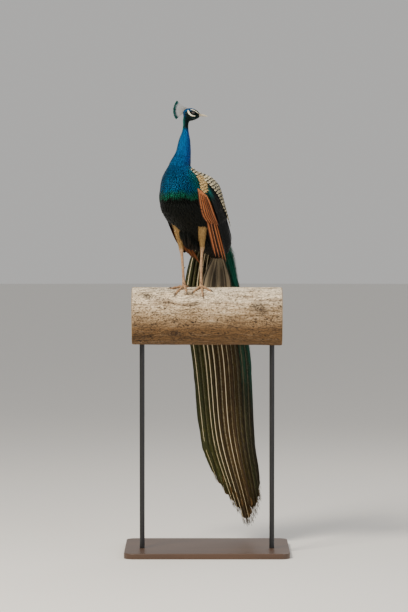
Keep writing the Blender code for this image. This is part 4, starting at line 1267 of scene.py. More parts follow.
for side_name, side in (("left", 1), ("right", -1)):
    bm = bmesh.new()
    bmesh.ops.create_uvsphere(bm, u_segments=40, v_segments=24, radius=EYE_RADIUS)
    axis_layer = bm.verts.layers.float.new("from_axis")
    for vert in bm.verts:
        vert[axis_layer] = math.hypot(vert.co.x, vert.co.y) / EYE_RADIUS if vert.co.z > 0 else 1.0
    look = Matrix.Rotation(math.radians(-90.0 * side), 4, "X")
    where = Matrix.Translation((EYE[0], side * EYE[1], EYE[2]))
    bmesh.ops.transform(bm, matrix=HEAD @ where @ look, verts=bm.verts)
    eye = to_object("eyeball_" + side_name, bm, eye_finish)
    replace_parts(eye, "eye_" + side_name)

    bm = bmesh.new()
    section = bmesh.ops.create_circle(bm, segments=12, radius=0.0009)["verts"]
    upright = Matrix.Diagonal((1.0, 1.0, 1.6, 1.0)) @ Matrix.Rotation(math.pi / 2, 4, "X")
    bmesh.ops.transform(bm, matrix=upright, verts=section)
    bmesh.ops.translate(bm, verts=section, vec=(EYE_RADIUS * 0.84, 0.0, 0.0))
    whole_turn = {"cent": (0, 0, 0), "axis": (0, 0, 1), "angle": 2 * math.pi, "steps": 36}
    bmesh.ops.spin(bm, geom=list(bm.edges), use_merge=True, **whole_turn)
    bmesh.ops.remove_doubles(bm, verts=bm.verts, dist=1e-6)
    for vert in bm.verts:
        angle = math.atan2(vert.co.y, vert.co.x)
        vert.co.y *= 1.0 - 0.20 * abs(math.sin(angle)) ** 1.5
        vert.co.x *= 1.0 + 0.06 * abs(math.cos(angle)) ** 8
        vert.co.z += EYE_RADIUS * 0.60 - 0.0006 * abs(math.cos(angle)) ** 2
    bmesh.ops.transform(bm, matrix=HEAD @ where @ look, verts=bm.verts)
    bmesh.ops.recalc_face_normals(bm, faces=bm.faces)
    to_object("eyelid_" + side_name, bm, lid_finish)

# %% [markdown]
# ## Bill
# Two tapering horn sheaths that meet along the line of the mouth. The upper one arches over the lower
# and carries the nostrils, each a slit under a small flap near the base.

# %% Bill
MOUTH_GAP = 0.00015
NOSTRIL = (0.0352, 0.0, 0.0002)
horn_finish = Finish("bill_horn", Roughness=0.34, Coat_Weight=0.15)
growth = horn_finish.noise(horn_finish.place((60.0, 500.0, 500.0)), 1.0, 3.0)
reach = horn_finish.split(horn_finish.place(centre=HEAD_PLACE))[0]
# The nostril slits are painted near-black: painted shade in the openings.
slit_scale = (1 / 0.0034, 1.0, 1 / 0.0010)
slit_x, _, slit_z = horn_finish.split(horn_finish.place(slit_scale, in_head(NOSTRIL)))
slit = (slit_x * slit_x + slit_z * slit_z).between(1.1, 0.7)
horn_finish.colour(horn_finish.layered(
    linear(150, 138, 118),
    (growth, (196, 186, 164)),
    (reach.between(0.046, 0.024), (108, 100, 86)),
    (slit * 0.9, (22, 18, 15)),
))
horn_finish.bump(growth, 0.0003, 0.3)


def bill_half(name, upper, rows, node):
    bm = bmesh.new()
    angle = np.linspace(0.0, 2 * math.pi, 40, endpoint=False)
    rise = np.sin(angle)
    rings = []
    for row in np.linspace(0.0, rows, 52):
        forward, mouth, above, below, half = np.maximum(between(BILL, row), (-1, -1, 0.0004, 0.0004, 0.0003))
        width = np.cos(angle) * half
        if upper:
            height = mouth + MOUTH_GAP + np.where(rise > 0, rise * above, rise * 0.0002)
            slit = ((forward - 0.0350) / 0.0036) ** 2 + (height / 0.0013) ** 2
            width = np.where(slit < 1.0, width * (1 - 0.22 * (1 - slit)), width)
        else:
            height = mouth - MOUTH_GAP + np.where(rise < 0, rise * below, rise * 0.0002)
            width = width * 0.88
        rings.append(in_head(np.column_stack((np.full(40, forward), width, height))))
    bridged(bm, rings)
    bmesh.ops.recalc_face_normals(bm, faces=bm.faces)
    made = to_object(name, bm, horn_finish)
    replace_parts(made, node)


bill_half("upper_bill_sheath", True, 6.0, "bill_upper")
bill_half("lower_bill_sheath", False, 4.6, "bill_lower")

# %% [markdown]
# ## Crest
# Two dozen bare shafts stand in a fan that is flat from side to side, each with a small webbed tip of
# blue-green. From the side the tips make one narrow arc.

# %% Crest
CREST_COUNT = 24
CREST_LENGTH = 0.0605
CREST_TIP = 0.0155
CREST_TIP_STATIONS = (0, 0.15, 0.45, 0.72, 0.90, 0.97, 1.0)
CREST_TIP_HALVES = (0.0, 0.0006, 0.0014, 0.0021, 0.0019, 0.0012, 0.0)
crest = Plumage("crest_tips")
quills = Plumage("crest_shafts")
share = np.linspace(0.0, 1.0, CREST_COUNT)
skew = 0.0013 * ((np.arange(CREST_COUNT) * 2) % 3 - 1) + draw.normal(0.0, 0.0002, CREST_COUNT)
fan = np.radians(150.0 + 71.0 * share + draw.normal(0.0, 0.5, CREST_COUNT))
root = np.column_stack((-0.012 - 0.013 * share, skew, 0.0195 - 0.0110 * share))
way = np.column_stack((np.cos(fan), skew * 4.0, np.sin(fan)))
bow = np.column_stack((-np.sin(fan), 0 * fan, np.cos(fan)))
length = CREST_LENGTH * (1.0 - 0.17 * share**2) * draw.uniform(0.97, 0.99, CREST_COUNT)
patch = np.column_stack((0.02 + 0.96 * share, np.full(CREST_COUNT, 0.25)))


def crest_path(along):
    """The shafts' paths in the world and their way to the side, at shares of their lengths."""
    local = (
        root[:, None]
        + way[:, None] * (length[:, None] * along)[..., None]
        + bow[:, None] * (0.004 * np.sin(math.pi * along) * (1 - share[:, None]))[..., None]
    )
    return in_head(local), np.broadcast_to(HEAD_AXES[:, 1], local.shape)


stations = np.linspace(0.0, 1.0, 12)
path, sideways = crest_path(stations)
radii = np.interp(stations, (0, 0.1, 0.8, 1.0), (0.0005, 0.0004, 0.00028, 0.0002))
radii = np.broadcast_to(radii, path.shape[:2])
shafts(quills, path, sideways, radii, np.tile(linear(120, 112, 92), (CREST_COUNT, 1)), patch, (0.03, 0.4), 5)
near_tip = np.linspace(0.0, 1.0, 15)
tip_from = (1 - CREST_TIP / length)[:, None]
path, sideways = crest_path(tip_from + (1 - tip_from) * near_tip)
halves = np.broadcast_to(np.interp(near_tip, CREST_TIP_STATIONS, CREST_TIP_HALVES), path.shape[:2])
colours = np.broadcast_to(blended(linear(0, 42, 54), linear(0, 68, 60), near_tip), path.shape)
vanes(crest, path, sideways, halves, 0.0006, colours, patch + (0.0, 0.5), (0.03, 0.3), 5, cup=0.1)

CREST_BARBS = 22
count = CREST_COUNT * CREST_BARBS
at = 2 + (np.arange(CREST_BARBS) * 9) // CREST_BARBS
tip_way = unit(path[:, -1] - path[:, 0])
tip_side = unit(np.cross(tip_way, HEAD_AXES[:, 1]))
barb_radii = np.tile((0.0, 0.00030, 0.00026, 0.0), (count, 1))
for hand in (-1, 1):
    start = path[:, at] + tip_way[:, None] * (0.0009 * draw.random((CREST_COUNT, CREST_BARBS)))[..., None]
    opening = np.linspace(15.0, 21.0, CREST_BARBS) + draw.normal(0.0, 2.0, (CREST_COUNT, CREST_BARBS))
    opening = np.radians(opening)
    reach = np.linspace(0.0048, 0.0052, CREST_BARBS) * draw.uniform(0.85, 1.1, (CREST_COUNT, CREST_BARBS))
    room = np.linalg.norm(path[:, -1:] - start, axis=2) / np.cos(opening)
    reach = np.minimum(reach, room * draw.uniform(0.86, 1.0, room.shape))
    ahead = tip_way[:, None] * np.cos(opening)[..., None]
    barb_way = ahead + tip_side[:, None] * (hand * np.sin(opening))[..., None]
    s = np.array((0.0, 0.3, 0.75, 1.0))
    barb = start[:, :, None] + barb_way[:, :, None] * (reach[..., None] * s)[..., None]
    light = draw.uniform(0.7, 1.25, (count, 1))
    tone = light * blended(linear(0, 48, 56), linear(0, 78, 66), draw.random(count))
    barb_patch = np.repeat(patch, CREST_BARBS, axis=0) + (0.0, 0.5)
    barb = barb.reshape(count, 4, 3)
    barb_side = np.broadcast_to(HEAD_AXES[:, 1], barb.shape)
    shafts(crest, barb, barb_side, barb_radii, tone, barb_patch, TUFT_PATCH, 4, 0.6)
crest.build(head_finish, "head_plumage")
quill_finish = feather_finish("quills", 0.5)
quills.build(quill_finish, "head_plumage")

# %% [markdown]
# ## Wings
# The folded wing hangs over the flank. Chestnut flight feathers and their coverts show along its front
# edge, glossy black secondaries behind them, and pale feathers barred with black run down from the
# shoulder along the back. Each tier starts under the one above it.

# %% Wing finishes
RUST = linear(148, 80, 34)
DARK_EDGE = (30, 20, 14)
WING_BLACK = linear(6, 9, 9)
WING_GREEN = linear(0, 86, 82)

rust_finish = Finish("rust_flight_feathers", Roughness=0.55, Specular_IOR_Level=0.2)
lines, across, along = barb_lines(rust_finish, 90.0, 9.0)
outer, own = rust_finish.kind()
# The dark edges stand for the dark gaps between the feathers: painted shade.
edge = abs(across).between(0.42, 0.66)
shaft = abs(across).between(0.09, 0.03) * 0.55
tone = 0.62 + own * 0.48 + (lines - 0.5) * 0.10
rust = rust_finish.toned(rust_finish.plumage(), tone)
rust = rust_finish.layered(rust, (shaft, DARK_EDGE), (edge * 0.95, DARK_EDGE))
# Painted shade: the under faces are painted dark brown, turning rust-brown only towards the tips, as they lie
# in shadow under the wing.
under = rust_finish.layered(linear(34, 22, 16), (along.between(0.35, 0.70), (150, 92, 54)))
under = rust_finish.layered(rust_finish.toned(under, tone), (edge * 0.6, DARK_EDGE))
rust_finish.colour(rust_finish.mix(outer, under, rust))
rust_finish.bump(lines, 0.0002, 0.4)

gloss_finish = feather_finish("glossy_black_feathers", 0.38, 0.40, 0.05, 0.2, rate=90.0)


# Ahead, out of the body and up: the way in which the bars follow each other
BAR_WAY = (-0.28, 0.40, -0.80)
CREAM = linear(222, 210, 176)
SHOULDER_BUFF = linear(196, 164, 112)
BAR_BLACK = (16, 14, 12)
BAR_OLIVE = (96, 78, 44)


def barred(name, side, pitch, contrast, pale, bar):
    """Pale feathers with dark wavy bars that run across the whole wing, pitch apart."""
    finish = Finish(name, Roughness=0.6, Specular_IOR_Level=0.2)
    lines, across, _ = barb_lines(finish, 70.0, 8.0)
    own = finish.kind()[1]
    wander = finish.noise(finish.place(), 130.0, 2.0)
    way = FORWARD * BAR_WAY[0] + LEFT * (side * BAR_WAY[1]) + UP * BAR_WAY[2]
    x, y, z = finish.split(finish.place(way / pitch))
    bars = ((x + y + z + abs(across) * 0.16 + wander * 1.1 + own * 0.30) * 6.2832).sin()
    layers = (lines * 0.35, (150, 126, 88)), (bars.between(-0.05, 0.30) * contrast, bar)
    finish.colour(finish.layered(pale, *layers))
    finish.bump(lines, 0.0003, 0.6)
    return finish

# %% Wing tiers
# Count, a and b of the first and last roots, a and b of the first and last tips, heights at the base
# and the tip, half width, kind
WING_TIERS = (
    (5, (0.34, 0.02), (0.40, 0.24), (0.78, 0.02), (0.93, 0.20), -0.004, -0.003, 0.0115, "gloss"),
    (4, (0.36, -0.02), (0.40, 0.20), (0.88, -0.06), (1.00, 0.18), -0.002, -0.001, 0.0086, "rust"),
    (13, (0.38, 0.27), (0.44, 0.80), (0.93, 0.29), (0.85, 0.86), 0.0025, 0.003, 0.0115, "gloss"),
    (6, (0.01, 0.12), (0.09, 0.15), (0.45, -0.03), (0.54, 0.20), 0.003, 0.0045, 0.0084, "rust"),
    (11, (0.20, 0.26), (0.26, 0.76), (0.54, 0.32), (0.60, 0.78), 0.0055, 0.006, 0.0105, "gloss"),
    (10, (0.12, 0.24), (0.14, 0.62), (0.40, 0.27), (0.46, 0.74), 0.0062, 0.0072, 0.0105, "gloss"),
    (7, (0.03, 0.32), (0.05, 0.46), (0.25, 0.24), (0.30, 0.58), 0.0070, 0.0080, 0.0100, "gloss"),
    (5, (-0.06, 0.30), (-0.05, 0.40), (0.01, 0.28), (0.02, 0.40), 0.0070, 0.0096, 0.0052, "shoulder"),
    (5, (-0.03, 0.26), (-0.02, 0.36), (0.04, 0.24), (0.05, 0.36), 0.0068, 0.0092, 0.0052, "shoulder"),
    (5, (0.00, 0.21), (0.01, 0.33), (0.065, 0.20), (0.075, 0.33), 0.0066, 0.0088, 0.0052, "shoulder"),
    (5, (0.025, 0.17), (0.035, 0.29), (0.09, 0.16), (0.10, 0.29), 0.0063, 0.0084, 0.0052, "shoulder"),
    (5, (0.045, 0.14), (0.055, 0.25), (0.115, 0.13), (0.12, 0.25), 0.0060, 0.0080, 0.0052, "shoulder"),
)
# The right wing's primaries cross under the tail, so their tips lie elsewhere
RIGHT_PRIMARY_TIPS = ((0.78, 0.10), (1.13, 0.58))
SCAPULAR_ROWS = 15
SCAPULARS_IN_ROW = 7
SCAPULAR_LENGTH = 0.12
# Heights at the base and the tip, half width
SCAPULAR_SIZES = (0.0082, 0.0108, 0.0072)
WING_KINDS = ("rust", "gloss", "barred", "shoulder")
# Place along the wing, and where the strip of barred feathers starts and ends across it
SCAPULAR_STRIP = (
    (-0.14, 0.33, 0.37), (-0.08, 0.36, 0.44), (-0.02, 0.40, 0.54), (0.06, 0.43, 0.66), (0.12, 0.46, 0.75),
    (0.20, 0.51, 0.86), (0.30, 0.57, 0.94), (0.40, 0.63, 0.96), (0.50, 0.71, 0.94), (0.58, 0.77, 0.92),
)
SKIN_CLEARANCE = 0.0045
# How far the strip is drawn in to the back near the neck, as a share of the way
DRAWN_IN = 0.6
# The rust coverts bow out over the flank; on the right wing they lie further back, behind the breast
COVERT_BOW = 0.115
RIGHT_BACK_BY = 0.16


def onto_the_flank(path, line, s, strip):
    """A tier's paths, clear of the skin; the barred strip is also drawn in to the back near the neck."""
    _, ways, depths = on_skin(path.reshape(-1, 3))
    short = (depths + SKIN_CLEARANCE).reshape(path.shape[:2])
    drawn_in = DRAWN_IN * smooth(0.05, -0.05, line[..., 0]) * strip
    short = np.where(short > 0, short, np.maximum(short, -0.015) * drawn_in)
    return path + ways.reshape(path.shape) * (short * np.minimum(1.0, s * 4))[..., None]


def tier_outline(s, rust):
    """The share of the half width at each station: rust feathers are more pointed."""
    pointed = 0.62 if rust else 0.80
    close = np.sqrt(np.clip(1 - (np.clip(s - pointed, 0, 1) / (1 - pointed)) ** 2, 0, 1))
    if rust:
        close = close * (1 - 0.45 * smooth(0.75, 1.0, s))
    shape = np.minimum(1.0, 0.50 + 1.6 * s) * close
    shape[0] = 0.0
    return shape


def tier_feathers(pieces, side, roots, tips, base_lift, tip_lift, half, kind):
    """One tier: its feathers' paths over the wing's sheet, their vanes and their shafts."""
    count = len(roots)
    rust = kind == "rust"
    s = 1 - (1 - np.linspace(0.0, 1.0, 18)) ** 1.35
    tips = tips + draw.normal(0.0, 0.006, tips.shape)
    line = roots[:, None] * (1 - s)[:, None] + tips[:, None] * s[:, None]
    coverts = rust and roots[0, 0] < 0.2
    if coverts:
        line[..., 1] -= COVERT_BOW * np.sin(math.pi * s) * np.linspace(1.0, 0.3, count)[:, None]
    step = 0.0004 * np.arange(count)[:, None] / max(1, count - 1)
    lift = base_lift + (tip_lift - base_lift) * s - (base_lift + 0.006) * np.clip(1 - s / 0.15, 0, 1) ** 2
    path, outs = wing(line[..., 0], line[..., 1], lift + step, side)
    if coverts or kind in ("barred", "shoulder"):
        path = onto_the_flank(path, line, s, kind == "barred")
    halves = half * tier_outline(s, rust) * (1 + draw.normal(0.0, 0.03, (count, 1)))
    colours = np.broadcast_to(CREAM, (count, len(s), 3))
    if rust:
        colours = blended(RUST, linear(134, 70, 36), draw.random((count, 1)) * s)
    elif kind == "gloss":
        green = 0.95 * bell(line[..., 1], 0.31, 0.07) * bell(line[..., 0], 0.13, 0.075)
        colours = blended(WING_BLACK, WING_GREEN, green)
    # The skin under the wing is given dark grey: painted shade under the feathers.
    remember(path[:, 4], np.tile(linear(20, 20, 20), (count, 1)))
    patch = np.column_stack((0.05 + 0.90 * line[:, 0, 1], 0.05 + 0.85 * np.clip(line[:, 0, 0] + 0.1, 0, 1)))
    turned_in = {"columns": 7, "tilt": -10.0 * side, "cup": 0.06}
    vanes(pieces[kind], path, outs, halves, 0.0010, colours, patch, (0.02, 0.06), **turned_in)
    # The rust feathers' shafts are pale: partly their own colour, partly a painted highlight along them.
    tone = linear(206, 146, 104) if rust else linear(40, 34, 30)
    pieces["shafts"].append((path + outs * 0.0004, outs, np.tile(tone, (count, 1)), patch))


def between_ends(first, last, count):
    """Points from the first to the last, evenly apart."""
    share = np.linspace(0.0, 1.0, count)[:, None]
    return np.array(first) * (1 - share) + np.array(last) * share


def strip_line(a, wide_as_at):
    """Evenly spaced places across the barred strip at a, as wide as it is at another place."""
    strip_along, strip_from, strip_to = np.transpose(SCAPULAR_STRIP)
    first, last = (np.interp(wide_as_at, strip_along, edge) for edge in (strip_from, strip_to))
    return np.column_stack((np.full(SCAPULARS_IN_ROW, a), np.linspace(first, last, SCAPULARS_IN_ROW)))


for side_name, side in (("left", 1), ("right", -1)):
    pieces = {kind: Plumage("wing_%s_%s" % (side_name, kind)) for kind in WING_KINDS}
    pieces["shafts"] = []
    for count, root_first, root_last, tip_first, tip_last, base_lift, tip_lift, half, kind in WING_TIERS:
        if side < 0 and tip_last[0] > 0.9 and root_first[1] < 0.1:
            tip_first, tip_last = RIGHT_PRIMARY_TIPS
            kind = "rust"
        roots = between_ends(root_first, root_last, count)
        tips = between_ends(tip_first, tip_last, count)
        if side < 0 and root_first[0] < 0.1 and kind in ("rust", "shoulder"):
            roots[:, 1] += RIGHT_BACK_BY
            tips[:, 1] += RIGHT_BACK_BY
        tier_feathers(pieces, side, roots, tips, base_lift, tip_lift, half, kind)
    first, last = SCAPULAR_STRIP[0][0], SCAPULAR_STRIP[-1][0]
    for row in range(SCAPULAR_ROWS):
        a = first + (last - first) * row / (SCAPULAR_ROWS - 1)
        roots, tips = strip_line(a, a), strip_line(a + SCAPULAR_LENGTH, a + 0.10)
        tier_feathers(pieces, side, roots, tips, *SCAPULAR_SIZES, "barred")
    stems = Plumage("wing_%s_shafts" % side_name)
    for path, outs, tones, patch in pieces["shafts"]:
        radii = np.broadcast_to(np.linspace(0.0009, 0.0002, path.shape[1]), path.shape[:2])
        shafts(stems, path, outs, radii, tones, patch, (0.01, 0.05), 4)
    finishes = (
        ("rust", rust_finish),
        ("gloss", gloss_finish),
        ("barred", barred("barred_feathers_" + side_name, side, 0.0125, 0.97, CREAM, BAR_BLACK)),
        ("shoulder", barred("shoulder_feathers_" + side_name, side, 0.0105, 0.80, SHOULDER_BUFF, BAR_OLIVE)),
    )
    for kind, finish in finishes:
        built = pieces[kind].build(finish, "wing_plumage")
        if kind == "rust":
            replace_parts(built, "wing_" + side_name)
    stems.build(quill_finish, "wing_plumage")

# %% [markdown]
# ## Train
# The train is about a hundred and twenty long feathers that grow from the rump and hang behind the
# trunk. Each has a quill with loose barbs along it, and near its end an eye: a bronze oval round a
# turquoise one round a dark blue heart. The longest row ends in open forks without eyes. The barbs are
# a little browner on their under faces.

# %% Train finishes
TRAIN_BROWN = linear(106, 80, 46)
TRAIN_OLIVE = linear(84, 94, 26)
TRAIN_GREEN = linear(28, 92, 40)
TRAIN_TEAL = linear(0, 116, 94)
TRAIN_DARK = linear(24, 22, 16)
UNDER_BUFF = linear(150, 134, 100)
QUILL = linear(236, 218, 180)

barb_finish = Finish("train_barbs", Roughness=0.42, Metallic=0.35, Specular_IOR_Level=0.25)
outer, own = barb_finish.kind()
tone = 0.35 + own * 0.85
base = barb_finish.toned(barb_finish.plumage(), tone)
above_trunk = barb_finish.split(barb_finish.place())[2].between(PERCH_TOP - 0.06, PERCH_TOP + 0.02)
browner = barb_finish.mix(0.30 - above_trunk * 0.30, base, barb_finish.toned(TRAIN_BROWN, tone))
barb_finish.colour(barb_finish.mix(outer, browner, base))

inner_finish = feather_finish("train_inner_vanes", 0.60, 0.15, contrast=0.45, rate=150.0)

ocellus_finish = Finish("train_eyes", Specular_IOR_Level=0.3)
wide, along = ocellus_finish.vane()
outer = ocellus_finish.kind()[0]
looks = {"Roughness": 0.90 - outer * 0.60, "Metallic": outer * 0.65, "Coat Weight": outer * 0.2}
for socket, value in looks.items():
    ocellus_finish.put(ocellus_finish.shader.inputs[socket], value)
barbs = (along * 24.0 - abs(wide) * 5.0).wave()
tall = (along - 0.50) * 2.0


def squares(x, y):
    return x * x + y * y


def oval(half_wide, half_tall, shift=0.0):
    """Below 1 inside an oval of the eye."""
    return squares(wide * (1.0 / half_wide), (tall - shift) * (1.0 / half_tall))


notch = ((1.0 - abs(wide) * 4.0) * 0.16).maths("MAXIMUM", 0.0)
heart = squares(wide * (1.0 / 0.36), (tall - 0.12 + notch * -1.0) * (1.0 / 0.30))
shade = ocellus_finish.layered(
    linear(126, 122, 36),
    (oval(0.96, 0.96).between(0.96, 1.04), (70, 92, 40)),
    (oval(0.88, 0.88).between(1.04, 0.96), (60, 84, 30)),
    (oval(0.78, 0.80).between(1.06, 0.94), (150, 96, 40)),
    (oval(0.52, 0.54, 0.04).between(1.10, 0.92), (0, 128, 138)),
    (heart.between(1.12, 0.90), (12, 14, 74)),
)
under = ocellus_finish.mix(barbs * 0.3, TRAIN_BROWN, TRAIN_DARK)
shade = ocellus_finish.mix(barbs * 0.28, shade, (0.003, 0.004, 0.003))
ocellus_finish.colour(ocellus_finish.mix(outer, under, shade))
ocellus_finish.bump(barbs, 0.0005, 0.5)

# %% Train paths
TRAIN_BENDS = (0.14, 0.05, -0.07, -0.30, -0.62)
TRAIN_EYE_LENGTH = 0.090
# Count, place of the roots along the rump, height of the tips, way out from the belly side
TRAIN_ROWS = (
    (11, 14.75, -1.000, 0.000),
    (10, 14.45, -0.910, 0.007),
    (9, 14.15, -0.780, 0.014),
    (8, 13.85, -0.630, 0.021),
    (7, 13.55, -0.460, 0.028),
    (6, 13.25, -0.270, 0.035),
    (5, 12.95, -0.070, 0.042),
)
STATIONS = 30


def train_path(sideways, root_t, tip_height, out_by):
    """Path and the ways out of one long feather, from the rump down through the train."""
    root = body(root_t, 62 * sideways, 0.004)
    shorter = 0.20 * max(0.0, -sideways) ** 1.5 + 0.10 * max(0.0, sideways) ** 1.5
    end = tip_height + shorter * min(1.0, -tip_height)
    heights = [h for h in TRAIN_BENDS if h > end + TRAIN_EYE_LENGTH + 0.03] + [end + TRAIN_EYE_LENGTH, end]
    row = row_at(TRAIN, np.array(heights))
    centre, broad, to_back, half = hanging(TRAIN, row)
    arch = 0.020 * (1 - sideways**2) * (1 - 0.6 * np.minimum(1.0, row / 3))
    points = centre + broad * (half * sideways * 0.93)[:, None] + to_back * (out_by + arch)[:, None]
    knots = np.vstack((root, points))
    ways = np.vstack((to_back[:1], to_back))
    lengths = np.concatenate(((0.0,), np.cumsum(np.linalg.norm(np.diff(knots, axis=0), axis=1))))
    want = np.linspace(0.0, lengths[-1], STATIONS)
    t = np.interp(want, lengths, np.arange(len(knots)))
    return between(knots, t), unit(between(ways, t)), lengths[-1]


def train_rows():
    """The rows of the solids with one more between each two."""
    rows = []
    for k in range(2 * len(TRAIN_ROWS) - 1):
        count, root_t, tip, out_by = between(TRAIN_ROWS, k / 2)
        rows.append((int(round(count)) + 1, root_t, tip, out_by, k))
    return rows


# %% Train feathers
def along_paths(paths, shares):
    """Points at shares (N,K) of the length of paths (N,S,3)."""
    n, s, _ = paths.shape
    place = np.clip(shares, 0, 1) * (s - 1)
    i = np.minimum(place.astype(int), s - 2)
    x = (place - i)[..., None]
    pick = np.arange(n)[:, None]
    return paths[pick, i] * (1 - x) + paths[pick, i + 1] * x


def barb_colours(wide, height):
    """Olive, browner in the middle, green and teal towards +X, and buff towards -X above the trunk."""
    return painted(
        TRAIN_OLIVE,
        (TRAIN_BROWN, bell(wide, 0.10, 0.60) * 0.85),
        (TRAIN_GREEN, smooth(0.45, 0.85, wide) * 0.8),
        (TRAIN_TEAL, smooth(0.55, 0.95, wide) * 0.75),
        (TRAIN_TEAL, smooth(-0.05, 0.02, height) * smooth(-0.2, 0.1, wide)),
        (TRAIN_DARK, smooth(-0.76, -0.95, height) * 0.8),
        (TRAIN_DARK, smooth(-0.05, -0.20, height) * smooth(0.50, 0.80, wide) * 0.75),
        (UNDER_BUFF, smooth(-0.05, 0.02, height) * smooth(-0.1, -0.4, wide) * 0.5),
    )


def inner_colours(wide, height):
    """The dark vanes deep in the train."""
    return painted(
        TRAIN_DARK,
        (TRAIN_BROWN, 0.45 * bell(wide, 0.0, 0.6)),
        (TRAIN_OLIVE, 0.25 * smooth(-0.3, -0.8, wide)),
        (TRAIN_TEAL, 0.35 * smooth(0.6, 0.9, wide) * smooth(-0.55, -0.30, height)),
        (TRAIN_TEAL, 0.8 * smooth(-0.05, 0.02, height) * smooth(-0.2, 0.1, wide)),
    )


def brightness(spread):
    """How bright each quill is: few are bright towards +X, and most of the others are."""
    count = len(spread)
    often = np.interp(spread, (-1.0, -0.3, 0.5, 0.75), (0.75, 0.70, 0.50, 0.05))[:, None]
    bright = draw.random((count, 1)) < often
    return np.where(bright, draw.uniform(0.75, 1.0, (count, 1)), draw.uniform(0.0, 0.3, (count, 1)))


def add_barbs(piece, paths, ways, broad, out, spread, patch, hand, per_side):
    """Loose barbs along one side of a row's quills."""
    count = len(paths)
    share = np.linspace(0.06, 0.985, per_side)[None] + draw.normal(0.0, 0.0015, (count, per_side))
    at = along_paths(paths, share)
    way = unit(along_paths(ways, share))
    side_way = unit(along_paths(broad, share)) * hand
    out_way = unit(along_paths(out, share))
    opening = np.interp(share, (0, 0.15, 0.5, 0.9, 1.0), (38, 34, 27, 26, 12))
    opening = np.radians(opening + draw.normal(0.0, 3.0, share.shape))
    reach = np.interp(share, (0, 0.12, 0.3, 0.8, 0.93, 1.0), (0.012, 0.022, 0.034, 0.037, 0.036, 0.020))
    reach = reach * draw.uniform(0.75, 1.12, share.shape)
    reach = reach * (1 - 0.45 * smooth(0.75, 1.0, np.abs(spread))[:, None] * smooth(0.30, 0.05, share))
    direction = way * np.cos(opening)[..., None] + side_way * np.sin(opening)[..., None]
    lean = out_way * draw.normal(0.02, 0.06, share.shape)[..., None]
    middle = at + (direction + lean) * (reach * 0.5)[..., None]
    end = at + (direction * 0.86 + way * 0.14 + lean * 1.5) * reach[..., None]
    barb = np.stack((at - direction * 0.0004, at + direction * 0.0004, middle, end), axis=2).reshape(-1, 4, 3)
    normal = np.repeat(out_way.reshape(-1, 1, 3), 4, axis=1)
    size = np.broadcast_to(np.array((0.0, 0.00055, 0.00045, 0.0)), (len(barb), 4))
    wide = np.broadcast_to(spread[:, None], share.shape) + draw.normal(0.0, 0.05, (count, 1))
    colours = barb_colours(wide, at[..., 2] - PERCH_TOP)
    colours = colours * draw.uniform(0.40, 1.25, (count, 1, 1))
    colours = colours * draw.uniform(0.6, 1.4, share.shape)[..., None]
    bake = np.stack(np.broadcast_arrays(patch[:, :1] + 0.03 * hand, 0.02 + 0.95 * share), axis=-1)
    shafts(piece, barb, normal, size, colours.reshape(-1, 3), bake.reshape(-1, 2), TUFT_PATCH, 3, 0.5)


def add_eyes(piece, paths, out, spread, lengths, number):
    """The row's eyes, each a flat oval a little before the feather's tip."""
    count = len(paths)
    share = np.linspace(0.0, 1.0, 11)
    long = np.clip(0.052 / lengths, 0.0, 0.3)[:, None]
    places = 1 - 0.018 / lengths[:, None] - long + long * share[None]
    normal = unit(along_paths(out, places))
    disc = along_paths(paths, places) + normal * 0.0016
    shape = np.sqrt(np.clip(1 - (2 * share - 1) ** 2, 0, 1)) ** 0.9 * (1 + 0.12 * share)
    halves = 0.0185 * shape * (1 - 0.45 * np.abs(spread[:, None]) ** 5)
    patch = np.column_stack((0.05 + 0.9 * (spread + 1) / 2, np.full(count, 0.04 + 0.9 * number / 13)))
    green = np.tile(TRAIN_GREEN, (count, 1))
    vanes(piece, disc, normal, halves, 0.0010, green, patch, (0.05, 0.06), 9, cup=0.05)


BARB_SPACING = 0.0042
ROWS_WITH_INNER_VANES = (1, 4, 7)
INNER_HALF = 0.0150
barb_pieces = [Plumage("train_barbs_%d" % k) for k in range(4)]
quill_piece = Plumage("train_quills")
eye_piece = Plumage("train_eyes")
inner_piece = Plumage("train_inner_vanes")
share = np.linspace(0.0, 1.0, STATIONS)
for count, root_t, tip, out_by, number in train_rows():
    spread = np.linspace(-1.0, 1.0, count)
    spread[1:-1] += draw.normal(0.0, 0.22 / count, count - 2)
    found = []
    for sideways in spread:
        own_tip = tip + draw.normal(0.0, 0.010)
        found.append(train_path(sideways, root_t, own_tip, out_by + draw.uniform(-0.001, 0.003)))
    paths, outs, lengths = (np.array(part) for part in zip(*found))
    ways = ways_along(paths)
    broad, out = frames(paths, outs, 12.0)
    patch = np.column_stack((0.03 + 0.9 * (spread + 1) / 2, np.full(count, 0.5)))
    bright = brightness(spread)
    radii = np.interp(share, (0, 0.12, 0.2, 0.6, 1), (0.0013, 0.0013, 0.0013, 0.0009, 0.0003))
    radii = radii * (0.60 + 0.95 * bright)
    radii = radii * (1 - 0.75 * smooth(-0.1, 0.3, spread)[:, None] * smooth(0.22, 0.12, share))
    shafts(quill_piece, paths, out, radii, np.asarray(QUILL) * (0.14 + 1.10 * bright), patch, (0.01, 0.8), 5)
    for hand in (-1, 1):
        piece = barb_pieces[min(3, number // 2)]
        add_barbs(piece, paths, ways, broad, out, spread, patch, hand, int(lengths.mean() / BARB_SPACING))
    if number in ROWS_WITH_INNER_VANES:
        close = np.sqrt(np.clip(1 - np.clip((share - 0.90) / 0.09, 0, 1) ** 2, 0, 1))
        close = np.minimum(1.0, share * 6) * close
        colours = inner_colours(np.broadcast_to(spread[:, None], paths.shape[:2]), paths[..., 2] - PERCH_TOP)
        halves = INNER_HALF * close * np.ones((count, 1))
        vanes(inner_piece, paths, out, halves, 0.0010, colours, patch, (0.01, 0.8), 5)
    if number > 0:
        add_eyes(eye_piece, paths, out, spread, lengths, number)

